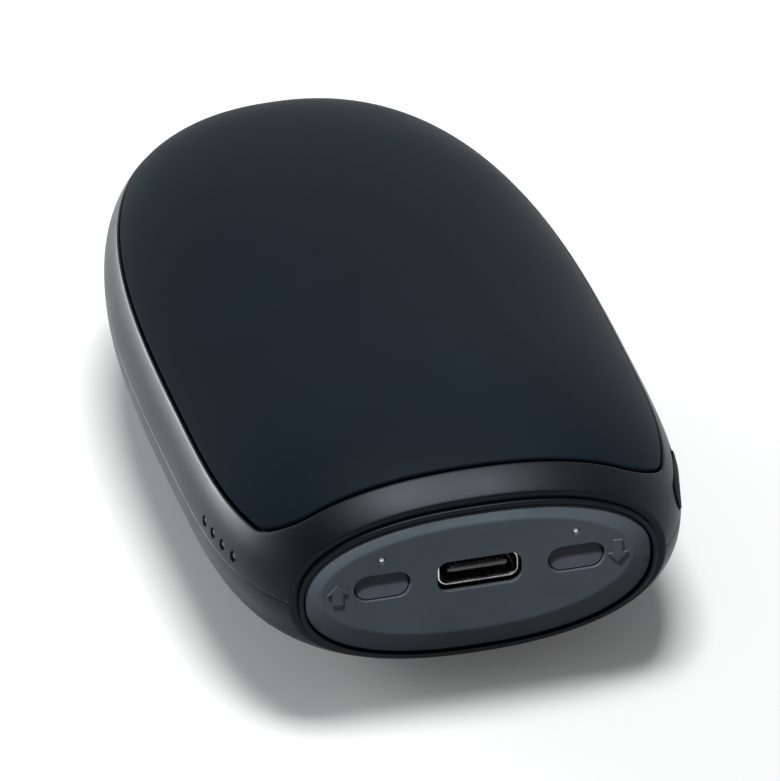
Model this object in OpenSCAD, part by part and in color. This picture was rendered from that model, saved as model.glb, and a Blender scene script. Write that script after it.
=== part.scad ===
// Rechargeable hand warmer: a pebble-shaped clamshell with a heated cover on each face,
// two lithium cells, a control board and an end panel with two keys and a charging port.
// X is the width, Y the length (the end panel faces -Y), Z is up. The origin is the middle
// of the flat that the hand warmer rests on.

/* [Overall size] */
// Length from the face of the end panel to the tail
body_l = 95; // [88:1:115]
// Width across the flanks
body_w = 52.5; // [46:0.5:64]
// Height from the resting flat to the top of the crown
body_t = 27; // [24:0.5:33]
// Depth of the flat that the crown of the bottom cover is cut to
rest_cut = 0.3; // [0.1:0.05:0.6]

/* [Pebble outline] */
// Distance from the blunt front to the widest station
widest_back = 33.7; // [28:0.1:38]
// How far the nose curve would run on past the front that cuts it off
nose_over = 5.3; // [3:0.1:8]
// Squareness of the plan outline in front of the widest station
plan_nose_n = 3.7; // [2.4:0.1:4.5]
// Squareness of the plan outline behind the widest station
plan_tail_n = 2.8; // [2.2:0.1:3.5]
// Squareness of the side outline in front of the widest station
side_nose_n = 2.95; // [2.4:0.05:4]
// Squareness of the side outline behind the widest station
side_tail_n = 3.15; // [2.4:0.05:4]
// Squareness of the cross-section
section_n = 2.25; // [2:0.05:2.8]

/* [Shells and covers] */
// Wall of the upper and lower shells
shell_wall = 2; // [1.6:0.1:2.4]
// Wall of the heated covers
cover_wall = 1.4; // [1:0.1:1.8]
// Height above the seam at which the covers meet the shells
cover_line = 5.4; // [4.6:0.1:6.4]
// Distance from the blunt front back to the front edge of a cover
nose_depth = 3.5; // [3:0.1:5]
// Radius of the front corners of a cover
cover_corner_r = 4; // [3:0.5:6]
// Distance of the centres of a cover's front corners in from the flanks
cover_corner_in = 4.58; // [3.5:0.1:7.5]
// Open gap between a cover and the shells
cover_gap = 0.35; // [0.2:0.05:0.5]
// Thickness of the ledge that the edge of a cover stands over
ledge_t = 1.4; // [1:0.1:1.8]
// Thickness of the spigot that a cover is pressed over
spigot_t = 1.2; // [0.8:0.1:1.6]
// Height of the spigot above the cover line
spigot_h = 2.2; // [1.5:0.1:3]
// Clearance between a cover and its spigot
spigot_clear = 0.15; // [0.1:0.05:0.25]

/* [End panel] */
// Width of the rim's face
rim_w = 1; // [0.8:0.1:1.5]
// How far the rim stands out of the blunt front
rim_proud = 0.5; // [0.3:0.1:1]
// How far the panel's face stands out of the rim
panel_proud = 0.7; // [0.3:0.1:1]
// Width of the bevel at the sides of the panel's face
bevel_side = 2.1; // [1.2:0.1:2.6]
// Width of the bevel above and below the panel's face
bevel_top = 1.6; // [1:0.1:2]
// Gap between the panel and the rim
panel_gap = 0.2; // [0.12:0.02:0.3]
// Thickness of the panel's front plate
panel_t = 1.8; // [1.5:0.1:2.2]
// Thickness of the panel's side wall
panel_wall = 1.5; // [1.2:0.1:1.8]
// How far the panel's flange reaches out behind the rim
flange_w = 0.8; // [0.5:0.1:1]
// Thickness of the panel's flange
flange_t = 1.2; // [1:0.1:1.6]

/* [Keys and power button] */
// Width of a key's opening
key_w = 6.25; // [5:0.25:7]
// Height of a key's opening
key_h = 3.05; // [2.5:0.05:3.6]
// Distance of each key from the middle of the panel
key_x = 10.7; // [9.5:0.1:11.5]
// Height of the keys above the seam
key_z = 0.95; // [0.9:0.05:1.5]
// How far a key's cap lies below the panel's face
key_recess = 0.5; // [0.3:0.05:0.8]
// Gap round a cap in its opening
cap_gap = 0.15; // [0.1:0.01:0.25]
// Travel of the keys and of the power button
press_travel = 0.3; // [0.2:0.05:0.4]
// Length of the power button
button_l = 9.7; // [8:0.1:11]
// Height of the power button
button_h = 2.8; // [2.2:0.1:3]
// Height of the power button's middle above the seam
button_z = 2.15; // [1.9:0.05:2.4]
// Distance from the blunt front to the middle of the power button
button_back = 9.6; // [8:0.1:12]
// How far the power button stands out of the flank
button_proud = 0.4; // [0.2:0.05:0.6]

/* [Charging port] */
// Outside width of the port's metal shell
port_w = 8.94; // [8.94:0.01:8.96]
// Outside height of the port's metal shell
port_h = 3.16; // [3.16:0.01:3.26]
// Metal thickness of the port's shell
port_wall = 0.3; // [0.25:0.05:0.3]
// Length of the port's shell
port_l = 7.35; // [6.5:0.05:8]
// Height of the port's middle above the seam
port_z = 1.1; // [0.8:0.05:1.4]
// How far the port's mouth lies below the panel's face
port_recess = 0.7; // [0.5:0.05:0.9]
// Gap round the port in the panel
port_gap = 0.15; // [0.1:0.05:0.25]

/* [Lights] */
// Diameter of the light pipes in the panel
pipe_d = 0.9; // [0.7:0.05:1.1]
// Height of the panel's light pipes above the seam
pipe_z = 4.2; // [3.9:0.1:4.4]
// Diameter of the charge lights on the flank
lens_d = 1.2; // [1:0.05:1.4]
// Spacing of the charge lights along the flank
lens_pitch = 2.65; // [2.4:0.05:3]
// Height of the charge lights above the seam
lens_z = 1.5; // [1.2:0.05:2]
// Distance from the blunt front to the nearest charge light
lens_back = 8.9; // [8:0.1:10]
// Clearance round a light pipe in its hole
pipe_clear = 0.05; // [0.03:0.01:0.08]

/* [Board, cells and heaters] */
// Thickness of the main board
board_t = 1.2; // [1:0.1:1.6]
// Distance from the blunt front to the back edge of the main board
board_back = 19.5; // [18.5:0.5:22]
// Distance of the main board's sides in from the flanks, at the power button
board_side = 5.16; // [5:0.1:7]
// Room between the end of the cells and the tail
tail_room = 23.5; // [21:0.5:28]
// Thickness of the foam between the cells and a heater, at the middle of the crown
pad_t = 5.2; // [4.5:0.1:6]
// Thickness of a heater film
film_t = 0.2; // [0.15:0.05:0.3]
// Tape between the two cells
tape_t = 0.3; // [0.2:0.1:0.5]
// Air left between the cells and the tray
cell_clear = 0.3; // [0.2:0.05:0.5]
// Wall of the tray round the cells
tray_wall = 1.2; // [1:0.1:1.6]
// Height of the tray
tray_h = 6; // [5:0.5:7]
// Diameter of the screw bosses
boss_d = 5.2; // [4.8:0.1:5.6]
// Diameter of the screws that join the shells
screw_d = 2; // [1.6:0.1:2.2]
// Length of those screws under the head
screw_l = 7.5; // [6.5:0.5:8]

/* [Hidden] */
$fn = 40;

// Colours
cover_colour = [0.14, 0.17, 0.2];
shell_colour = [0.2, 0.23, 0.26];
panel_colour = [0.25, 0.27, 0.3];
cap_colour = [0.17, 0.17, 0.19];
steel_colour = [0.8, 0.8, 0.78];
gold_colour = [0.85, 0.65, 0.3];
board_colour = [0.05, 0.3, 0.2];
chip_colour = [0.08, 0.08, 0.09];
lens_colour = [0.85, 0.87, 0.85];
cell_colour = [0.7, 0.71, 0.73];
film_colour = [0.8, 0.5, 0.2];
foam_colour = [0.35, 0.35, 0.36];

// Stations along Y
panel_face_y = -body_l / 2;
rim_y = panel_face_y + panel_proud;
front_y = rim_y + rim_proud;
tail_y = body_l / 2;
widest_y = front_y + widest_back;
cover_front_y = front_y + nose_depth;
corner_y = cover_front_y + cover_corner_r;
flange_back_y = cover_front_y - 0.8;
flange_front_y = flange_back_y - flange_t;
plate_back_y = panel_face_y + panel_t;
board_front_y = flange_back_y + 0.4;
board_back_y = front_y + board_back;
cell_front_y = board_back_y + 1.4 + cell_clear + tray_wall;
cell_back_y = tail_y - tail_room;

// Heights
form_c = (body_t + rest_cut) / 2;
seam_z = form_c - rest_cut;
stack_half = form_c - cover_wall - film_t - pad_t;
board_top = port_z - port_h / 2;
board_bottom = board_top - board_t;
edge_z = cover_line + cover_gap;

// The pebble: half width, half height and cross-section of the body, drawn in by an inset
nose_reach = widest_back + nose_over;
tail_reach = tail_y - widest_y;
function reach(y) = y < widest_y ? nose_reach : tail_reach;
function fade(d, b, n) = pow(max(0, 1 - pow(min(1, abs(d) / b), n)), 1 / n);
function form_w(y, inset) = (body_w / 2 - inset)
    * fade(y - widest_y, reach(y) - inset, y < widest_y ? plan_nose_n : plan_tail_n);
function form_h(y, inset) = (form_c - inset)
    * fade(y - widest_y, reach(y) - inset, y < widest_y ? side_nose_n : side_tail_n);
function section_x(y, z, inset) = form_w(y, inset) * fade(z, form_h(y, inset), section_n);
function section_z(x, y, inset) = form_h(y, inset) * fade(x, form_w(y, inset), section_n);
function tail_at(z, inset) = widest_y + (tail_reach - inset) * fade(z, form_c - inset, side_tail_n);
cover_front_half = section_x(corner_y, cover_line, 0) - cover_corner_in;

// Superellipse outline with half sizes a and c, started at the bottom
function power(v, n) = sign(v) * pow(abs(v), n);
function oval(a, c, n, steps) = [for (i = [0:steps - 1])
    let (t = 360 * i / steps - 90) [a * power(cos(t), 2 / n), c * power(sin(t), 2 / n)]];

// Triangles that close a symmetrical loop of n points, and that join loop to loop
function zip(n) = let (h = floor(n / 2), odd = n % 2) concat([[0, 1, n - 1]],
    [for (j = [1:h - 2 + odd]) each [[j, j + 1, n - j - 1], [j, n - j - 1, n - j]]],
    odd == 1 ? [] : [[h - 1, h, h + 1]]);
function sides(m, n) = [for (i = [0:m - 2]) for (j = [0:n - 1])
    let (a = i * n + j, b = i * n + (j + 1) % n) each [[a, b, a + n], [b, b + n, a + n]]];

// Solid through loops that each start on the middle line and are alike left and right
module stack(loops) {
    m = len(loops);
    n = len(loops[0]);
    polyhedron(points = [for (p = loops) each p],
        faces = concat([for (f = zip(n)) [f[0], f[2], f[1]]], sides(m, n),
            [for (f = zip(n)) [for (v = f) v + (m - 1) * n]]));
}

// Wall between an outer and an inner grid of points, each row run from the seam up
module wall(outer, inner) {
    n = len(outer);
    m = len(outer[0]);
    h = n * m;
    t = m - 1;
    e = h - m;
    polyhedron(points = concat([for (r = outer) each r], [for (r = inner) each r]),
        faces = concat(
            [for (i = [0:n - 2]) for (k = [0:m - 2]) let (a = i * m + k)
                each [[a, a + 1, a + m + 1], [a, a + m + 1, a + m]]],
            [for (i = [0:n - 2]) for (k = [0:m - 2]) let (a = h + i * m + k)
                each [[a, a + m + 1, a + 1], [a, a + m, a + m + 1]]],
            [for (i = [0:n - 2]) let (a = i * m) each [[a, a + m, h + a + m], [a, h + a + m, h + a]]],
            [for (i = [0:n - 2]) let (a = i * m + t)
                each [[a, h + a + m, a + m], [a, h + a, h + a + m]]],
            [for (k = [0:m - 2]) each [[k, h + k, h + k + 1], [k, h + k + 1, k + 1]]],
            [for (k = [e:e + m - 2]) each [[k, h + k + 1, h + k], [k, k + 1, h + k + 1]]]));
}

// Lifts what is drawn about the seam to its real height
module placed() translate([0, 0, seam_z]) children();
module flipped() mirror([0, 0, 1]) children();

// Extrudes an X-Z outline between two stations along Y, and a slab between two heights
module along_y(y0, y1) translate([0, y1, 0]) rotate([90, 0, 0]) linear_extrude(y1 - y0) children();
module slab(x0, x1, y0, y1, z0, z1) translate([x0, y0, z0]) cube([x1 - x0, y1 - y0, z1 - z0]);
module post(x, y, z0, z1, d) translate([x, y, z0]) cylinder(h = z1 - z0, d = d);
module pill(w, h) {
    square([w - h, h], center = true);
    for (s = [-1, 1]) translate([s * (w - h) / 2, 0]) circle(h / 2);
}

// Puts its child on a flank, +X outward along the normal, at a station and a height
function flank_lean(y, z) = -atan(section_x(y + 0.5, z, 0) - section_x(y - 0.5, z, 0));
module on_flank(y, z, side) {
    mirror([side < 0 ? 1 : 0, 0, 0]) translate([section_x(y, z, 0), y, z])
        rotate([0, 0, flank_lean(y, z)]) children();
}
module pill_x(x0, x1, w, h) {
    translate([x0, 0, 0]) rotate([90, 0, 90]) linear_extrude(x1 - x0) pill(w, h);
}

// Wire through points that turn at right angles, each turn rounded
module wire(points, r, bend) {
    last = len(points) - 1;
    function way(i) = (points[i + 1] - points[i]) / norm(points[i + 1] - points[i]);
    for (i = [0:last - 1]) {
        a = way(i);
        start = i == 0 ? 0 : bend;
        length = norm(points[i + 1] - points[i]) - start - (i == last - 1 ? 0 : bend);
        translate(points[i] + a * start) rotate([0, acos(a[2]), atan2(a[1], a[0])])
            cylinder(h = length, r = r);
        if (i > 0) {
            c = way(i - 1);
            n = cross(c, a);
            o = points[i] + (a - c) * bend;
            multmatrix([[-a[0], c[0], n[0], o[0]], [-a[1], c[1], n[1], o[1]],
                [-a[2], c[2], n[2], o[2]], [0, 0, 0, 1]])
                rotate_extrude(angle = 90) translate([bend, 0]) circle(r);
        }
    }
}

// Outline of a cover at a height: front edge, rounded corner, flank, tail and back again
function corner_x(y, g) = let (r = cover_corner_r - g, d = corner_y - y, k = r * sin(45))
    cover_front_half + (d > k ? sqrt(max(0, r * r - d * d)) : 2 * k - d);
function cover_half(y, z, inset, g) = min(section_x(y, z, inset), corner_x(y, g));
function mirrored(side) = [for (i = [len(side) - 1:-1:0]) [-side[i][0], side[i][1]]];
function cover_loop(z, inset, g) =
    let (r = cover_corner_r - g, y0 = cover_front_y + g, y1 = corner_y - r * cos(45))
    let (tip = tail_at(z, inset))
    let (ys = concat([for (t = [15:15:45]) corner_y - r * cos(t)],
        [for (i = [1:16]) y1 + (tip - y1) * (1 - cos(180 * i / 17)) / 2]))
    let (side = concat([for (i = [1:3]) [cover_front_half * i / 3, y0]],
        [for (y = ys) [cover_half(y, z, inset, g), y]]))
    concat([[0, y0]], side, [[0, tip]], mirrored(side));
spine_front = cover_front_y + 20;
spine_back = tail_y - 20;
function toward(loop, s) = let (y0 = loop[0][1], span = loop[len(loop) / 2][1] - y0)
    [for (p = loop) let (c = spine_front + (spine_back - spine_front) * (p[1] - y0) / span)
        [p[0] * s, c + (p[1] - c) * s]];
function lifted(loop, inset, drop) = [for (p = loop) [p[0], p[1], section_z(p[0], p[1], inset) - drop]];
function level(loop, z) = [for (p = loop) [p[0], p[1], z]];
cover_top = cover_loop(edge_z + 0.7, 0, cover_gap);
cover_in = cover_loop(edge_z + 0.7, cover_wall, cover_gap + cover_wall);

// A heated cover: a deep dish with an even wall, open below
module cover() {
    stack(concat(
        [for (s = [0.04, 0.3, 0.55, 0.76, 0.9, 1]) lifted(toward(cover_top, s), 0, 0)],
        [level(cover_loop(edge_z, 0, cover_gap), edge_z)],
        [level(cover_loop(edge_z, cover_wall, cover_gap + cover_wall), edge_z)],
        [for (s = [1, 0.87, 0.68, 0.42, 0.12]) lifted(toward(cover_in, s), cover_wall, 0)]));
}
module top_cover() color(cover_colour) placed() cover();
module bottom_cover() color(cover_colour) placed() difference() {
    flipped() cover();
    slab(-body_w, body_w, -body_l, body_l, -form_c - 5, -seam_z);
}

// Flank of a half shell from the nose round the tail, with its ledge and spigot
band_steps = 18;
function flank_point(i, z, inset) =
    let (k = min(i, 2 * band_steps - i))
    let (y = corner_y + (tail_at(z, inset) - corner_y) * sin(90 * k / band_steps))
    let (x = k == band_steps ? 0 : section_x(y, z, inset))
    [i > band_steps ? -x : x, y, z];
spigot_in = cover_wall + spigot_clear;
spigot_back = spigot_in + spigot_t;
ledge_z = cover_line - ledge_t;
module flank_band() {
    top = cover_line + spigot_h;
    outer = concat([for (k = [0:4]) [cover_line * k / 4, 0]], [[cover_line, spigot_in], [top, spigot_in]]);
    inner = concat([for (k = [0:3]) [ledge_z * k / 3, shell_wall]],
        [[ledge_z, spigot_back], [ledge_z + 1, spigot_back], [top, spigot_back]]);
    wall([for (i = [0:2 * band_steps]) [for (p = outer) flank_point(i, p[0], p[1])]],
        [for (i = [0:2 * band_steps]) [for (p = inner) flank_point(i, p[0], p[1])]]);
}

// Cross-section of the nose: flat at the seam, the band's heights, then round the crown
function nose_loop(y) =
    let (w = form_w(y, 0), h = form_h(y, 0), u = asin(pow(cover_line / h, section_n / 2)))
    let (low = [for (k = [0:4]) [section_x(y, cover_line * k / 4, 0), y, cover_line * k / 4]])
    let (high = [for (i = [1:5]) let (t = u + (90 - u) * i / 6)
        [w * pow(cos(t), 2 / section_n), y, h * pow(sin(t), 2 / section_n)]])
    let (side = concat(low, high))
    concat([[0, y, h]], [for (i = [9:-1:0]) [-side[i][0], y, side[i][2]]], side);

// Rim and panel outlines follow the pebble at the rim
rim_a = form_w(rim_y, 0);
rim_c = form_h(rim_y, 0);
opening_a = rim_a - rim_w;
opening_c = rim_c - rim_w;
panel_n = 2.4;
face_n = 2.1;
rail_front_y = cover_front_y + cover_gap + spigot_in;

// Plan of the space that a cover takes up behind the nose
function cover_plan() =
    let (r = cover_corner_r, k = r * sin(45), out = body_w)
    let (arc = [for (t = [0:7.5:45]) [cover_front_half + r * sin(t), corner_y - r * cos(t)]])
    let (side = concat(arc, [[out, corner_y - k + out - cover_front_half - k]], [[out, tail_y]]))
    concat(side, mirrored(side));
module nose() {
    difference() {
        stack([for (i = [0:6]) nose_loop(front_y + (corner_y - front_y) * i / 6)]);
        translate([0, 0, cover_line]) linear_extrude(form_c) polygon(cover_plan());
        along_y(front_y - 1, flange_back_y + 0.05) polygon(oval(opening_a, opening_c, panel_n, 64));
        along_y(flange_front_y - 0.05, flange_back_y + 0.05)
            polygon(oval(opening_a + flange_w + 0.1, opening_c + flange_w + 0.1, panel_n, 64));
        along_y(flange_back_y, corner_y + 1) intersection() {
            polygon(oval(form_w(flange_back_y, shell_wall), form_h(flange_back_y, shell_wall), 2.25, 64));
            square([body_w * 2, 2 * ledge_z], center = true);
        }
    }
    slab(-cover_front_half + 6, cover_front_half - 6, rail_front_y, rail_front_y + spigot_t,
        ledge_z + 0.5, cover_line + spigot_h);
    along_y(rim_y, front_y) difference() {
        polygon(oval(rim_a, rim_c, panel_n, 64));
        polygon(oval(opening_a, opening_c, panel_n, 64));
        translate([-body_w, -body_w]) square([2 * body_w, body_w]);
    }
}

// Screws stand in four bosses that follow the inside of the flanks
boss_ys = [board_back_y + 3.4, cell_back_y + 5.5];
function boss_x(y) = section_x(y, 5, shell_wall) - boss_d / 2 + 0.8;
ear_t = 1.2;
seat_z = -3.1;
module at_bosses() {
    for (y = boss_ys) for (s = [-1, 1]) translate([s * boss_x(y), y, 0]) children();
}
bulkhead_y = board_back_y - 1.4;
bulkhead_half = section_x(bulkhead_y, cover_line, 1.1);
light_ys = [for (i = [0:3]) front_y + lens_back + i * lens_pitch];
light_mid_y = (light_ys[0] + light_ys[3]) / 2;
light_lean = flank_lean(light_mid_y, lens_z);
button_y = front_y + button_back;
board_half = section_x(button_y, button_z, 0) - board_side;
function flank_x(d) = section_x(button_y + d, button_z, 0);
button_r = 16 / (2 * flank_x(0) - flank_x(-4) - flank_x(4));

module upper_shell() color(shell_colour) placed() difference() {
    union() {
        flank_band();
        nose();
        at_bosses() cylinder(h = cover_line, d = boss_d);
        slab(-bulkhead_half, bulkhead_half, bulkhead_y, bulkhead_y + 1.4, ledge_z, cover_line);
    }
    at_bosses() translate([0, 0, -1]) cylinder(h = cover_line + 0.4, d = screw_d + 0.04);
    on_flank(button_y, button_z, 1) {
        pill_x(-6, 2, button_l + 2 * cap_gap, button_h + 2 * cap_gap);
        translate([-8, -6.4, -2.3]) cube([8 - 2.1, 12.8, 4.6]);
    }
    for (y = light_ys) mirror([1, 0, 0]) translate([section_x(y, lens_z, 0), y, lens_z])
        rotate([0, 90, light_lean]) translate([0, 0, -5]) cylinder(h = 7, d = lens_d + 2 * pipe_clear);
    for (s = [-1, 1]) translate([s * key_x, flange_back_y - 1, pipe_z]) rotate([-90, 0, 0])
        cylinder(h = cover_corner_r + 3, d = pipe_d + 0.3);
}

module lower_shell() color(shell_colour) placed() difference() {
    union() {
        flipped() {
            flank_band();
            nose();
        }
        at_bosses() translate([0, 0, -cover_line]) cylinder(h = cover_line - ear_t, d = boss_d);
        slab(-bulkhead_half, bulkhead_half, bulkhead_y, bulkhead_y + 1.4, -cover_line, board_bottom);
        for (s = [-1, 1]) {
            post(s * 12, board_back_y - 2.8, -cover_line, board_bottom, 4.4);
            post(s * 13.5, board_front_y + 2, -ledge_z - 0.5, board_bottom, 3);
        }
    }
    at_bosses() {
        translate([0, 0, -cover_line - 1]) cylinder(h = cover_line + 2, d = screw_d + 0.3);
        translate([0, 0, -cover_line - 1]) cylinder(h = cover_line + 1 + seat_z, d = 3.9);
    }
    for (s = [-1, 1]) post(s * 12, board_back_y - 2.8, board_bottom - 3, board_bottom + 1, 1.64);
}

// The end panel: bevelled face, side wall and a flange that the shells close on
panel_a = opening_a - panel_gap;
panel_c = opening_c - panel_gap;
module end_panel() color(panel_colour) placed() difference() {
    union() {
        translate([0, rim_y, 0]) rotate([90, 0, 0]) stack([
            level(oval(panel_a - bevel_side, panel_c - bevel_top, face_n, 64), panel_proud),
            level(oval(panel_a, panel_c, panel_n, 64), 0),
            level(oval(panel_a, panel_c, panel_n, 64), rim_y - flange_back_y)]);
        along_y(flange_front_y, flange_back_y)
            polygon(oval(panel_a + flange_w, panel_c + flange_w, panel_n, 64));
    }
    along_y(plate_back_y, flange_back_y + 1)
        polygon(oval(panel_a - panel_wall, panel_c - panel_wall, panel_n, 64));
    for (s = [-1, 1]) translate([s * key_x, 0, 0]) {
        along_y(panel_face_y - 1, plate_back_y + 1) translate([0, key_z]) pill(key_w, key_h);
        along_y(panel_face_y - 1, plate_back_y + 1) translate([0, pipe_z]) circle(pipe_d / 2 + pipe_clear);
    }
    along_y(panel_face_y - 1, plate_back_y + 1) translate([0, port_z])
        pill(port_w + 2 * port_gap, port_h + 2 * port_gap);
}

// Keys: a cap in its opening, a flange behind the plate and a stem to the switch
switch_front_y = board_front_y + 0.8;
plunger_out = 0.6;
module key_body() placed() {
    translate([0, 0, key_z]) {
        along_y(panel_face_y + key_recess, plate_back_y + 0.3) pill(key_w - 2 * cap_gap, key_h - 2 * cap_gap);
        along_y(plate_back_y + 0.05, plate_back_y + 0.85) pill(key_w + 1.2, key_h + 1);
        along_y(plate_back_y + 0.5, switch_front_y - plunger_out) circle(0.8);
    }
}
module key_up() color(cap_colour) translate([-key_x, 0, 0]) key_body();
module key_down() color(cap_colour) translate([key_x, 0, 0]) key_body();
module power_button() color(cap_colour) placed() on_flank(button_y, button_z, 1) {
    intersection() {
        pill_x(-2.4, 2, button_l, button_h);
        translate([button_proud - button_r, 0, -5]) cylinder(h = 10, r = button_r, $fn = 200);
    }
    pill_x(-3.05, -2.15, button_l + 1.3, button_h + 1.1);
    pill_x(-4.4, -3, 3, 1.6);
}

// Push switches and the plungers that the stems stand against
module key_plunger() placed() translate([0, 0, key_z])
    along_y(switch_front_y - plunger_out, switch_front_y + 1) circle(0.6);
module up_plunger() color(cap_colour) translate([-key_x, 0, 0]) key_plunger();
module down_plunger() color(cap_colour) translate([key_x, 0, 0]) key_plunger();
module power_plunger() color(cap_colour) placed() on_flank(button_y, button_z, 1)
    translate([-6.4, 0, 0]) rotate([0, 90, 0]) cylinder(h = 2, d = 1.2);
module key_switches() color(chip_colour) placed() for (s = [-1, 1]) difference() {
    slab(s * key_x - 2.3, s * key_x + 2.3, switch_front_y, switch_front_y + 3.2, board_top, key_z + 1.5);
    translate([s * key_x, 0, key_z]) along_y(switch_front_y - 1, switch_front_y + 1 + press_travel + 0.1)
        circle(0.65);
}
module power_switch() color(chip_colour) placed() difference() {
    on_flank(button_y, button_z, 1) translate([-8.4, -2.6, board_top - button_z])
        cube([3.4, 5.2, button_z - board_top + 1.4]);
    on_flank(button_y, button_z, 1) translate([-6.4 - press_travel - 0.1, 0, 0]) rotate([0, 90, 0])
        cylinder(h = 3, d = 1.3);
}

// Charging port: metal shell with four legs, tongue with its base, and the contacts
mouth_y = panel_face_y + port_recess;
port_back_y = mouth_y + port_l;
leg_ys = [board_front_y + 1, port_back_y - 0.7];
module port_shell() color(steel_colour) placed() {
    translate([0, 0, port_z]) along_y(mouth_y, port_back_y) difference() {
        pill(port_w, port_h);
        pill(port_w - 2 * port_wall, port_h - 2 * port_wall);
    }
    for (s = [-1, 1]) for (y = leg_ys)
        slab(s * (port_w / 2 - 0.15) - 0.15, s * (port_w / 2 - 0.15) + 0.15, y - 0.4, y + 0.4,
            board_bottom - 0.4, port_z);
}
module port_tongue() color(chip_colour) placed() translate([0, 0, port_z]) {
    along_y(mouth_y + 5, port_back_y) pill(port_w - 2 * port_wall - 0.04, port_h - 2 * port_wall - 0.04);
    slab(-3.34, 3.34, mouth_y + 0.5, mouth_y + 5.2, -0.35, 0.35);
}
module port_contacts() color(gold_colour) placed() for (i = [0:11]) {
    x = (i - 5.5) * 0.5;
    for (s = [-1, 1]) slab(x - 0.13, x + 0.13, mouth_y + 0.9, mouth_y + 4.95,
        port_z + s * 0.385 - 0.035, port_z + s * 0.385 + 0.035);
    slab(x - 0.13, x + 0.13, port_back_y, port_back_y + 0.9, board_top, board_top + 0.15);
}

// Light pipes of the panel: straight back over the switches, then down to the board
module panel_light_pipes() color(lens_colour) placed() for (s = [-1, 1]) translate([s * key_x, 0, 0]) {
    translate([0, panel_face_y + 0.3, pipe_z]) rotate([-90, 0, 0])
        cylinder(h = pipe_bend_y - panel_face_y - 0.3, d = pipe_d);
    translate([0, pipe_bend_y, pipe_z - 1]) rotate([90, 0, 90]) rotate_extrude(angle = 90)
        translate([1, 0]) circle(pipe_d / 2);
    post(0, pipe_bend_y + 1, board_top + 0.75, pipe_z - 1, pipe_d);
}
pipe_bend_y = switch_front_y + 4.2;

// Light guide of the flank: four pins through the wall, joined by a bar on the inside
module charge_light_guide() color(lens_colour) placed() mirror([1, 0, 0]) {
    for (y = light_ys) translate([section_x(y, lens_z, 0), y, lens_z]) rotate([0, 90, light_lean])
        translate([0, 0, -3.9]) cylinder(h = 3.87, d = lens_d);
    translate([section_x(light_mid_y, lens_z, 0), light_mid_y, lens_z]) rotate([0, 0, light_lean])
        translate([-4.4, -1.5 * lens_pitch - 1, -0.9]) cube([1.3, 3 * lens_pitch + 2, 1.8]);
}

// Main board with its holes and slots
module main_board() color(board_colour) placed() difference() {
    slab(-board_half, board_half, board_front_y, board_back_y, board_bottom, board_top);
    for (s = [-1, 1]) {
        post(s * 12, board_back_y - 2.8, board_bottom - 1, board_top + 1, 2.3);
        for (y = leg_ys) slab(s * (port_w / 2 - 0.15) - 0.3, s * (port_w / 2 - 0.15) + 0.3,
            y - 0.55, y + 0.55, board_bottom - 1, board_top + 1);
    }
}
module board_chip(x, y, w, l, h) slab(x - w / 2, x + w / 2, y - l / 2, y + l / 2, board_top, board_top + h);
chip_y = board_front_y + 8;
module light_chips() color(lens_colour) placed() {
    for (s = [-1, 1]) board_chip(s * key_x, pipe_bend_y + 1, 1.6, 1.6, 0.7);
    for (y = light_ys) mirror([1, 0, 0]) translate([section_x(y, lens_z, 0), y, board_top])
        rotate([0, 0, light_lean]) translate([-6.4, -0.6, 0]) cube([0.9, 1.2, 1]);
}
module control_chips() color(chip_colour) placed() {
    board_chip(-3.5, chip_y, 5, 5, 0.9);
    board_chip(3.8, chip_y + 0.4, 4, 4, 0.8);
    board_chip(-4.8, chip_y + 6.4, 4, 3, 1);
}
module boost_inductor() color(chip_colour) placed() difference() {
    board_chip(3.6, chip_y + 6.6, 6, 6, 2.8);
    post(3.6, chip_y + 6.6, board_top + 2.4, board_top + 4, 4);
}
module capacitors() color([0.6, 0.5, 0.4]) placed() for (i = [0:5]) {
    board_chip(-14.5, board_front_y + 3 + i * 1.9, 1.6, 0.8, 0.8);
    if (i < 4) board_chip(14.2 - 0.9 * i, board_back_y - 7, 0.5, 1, 0.5);
}

// Cells, the tape between them and the tray round them
tray_half = boss_x(boss_ys[0]) - boss_d / 2 - 0.3;
cell_top = min(stack_half, cover_line + spigot_h);
cell_half = min(tray_half - tray_wall, section_x(cell_back_y - 1.5, cell_top, spigot_back)) - cell_clear;
module cell() {
    linear_extrude(stack_half - tape_t / 2) translate([0, cell_front_y]) {
        translate([-cell_half, 1.5]) square([2 * cell_half, cell_back_y - cell_front_y - 3]);
        translate([-cell_half + 1.5, 0]) square([2 * cell_half - 3, cell_back_y - cell_front_y]);
        for (x = [-1, 1]) for (y = [1.5, cell_back_y - cell_front_y - 1.5])
            translate([x * (cell_half - 1.5), y]) circle(1.5);
    }
}
module upper_cell() color(cell_colour) placed() translate([0, 0, tape_t / 2]) cell();
module lower_cell() color(cell_colour) placed() flipped() translate([0, 0, tape_t / 2]) cell();
module cell_tape() color([0.9, 0.9, 0.85]) placed()
    slab(-cell_half + 3, cell_half - 3, cell_front_y + 4, cell_back_y - 4, -tape_t / 2, tape_t / 2);

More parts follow.
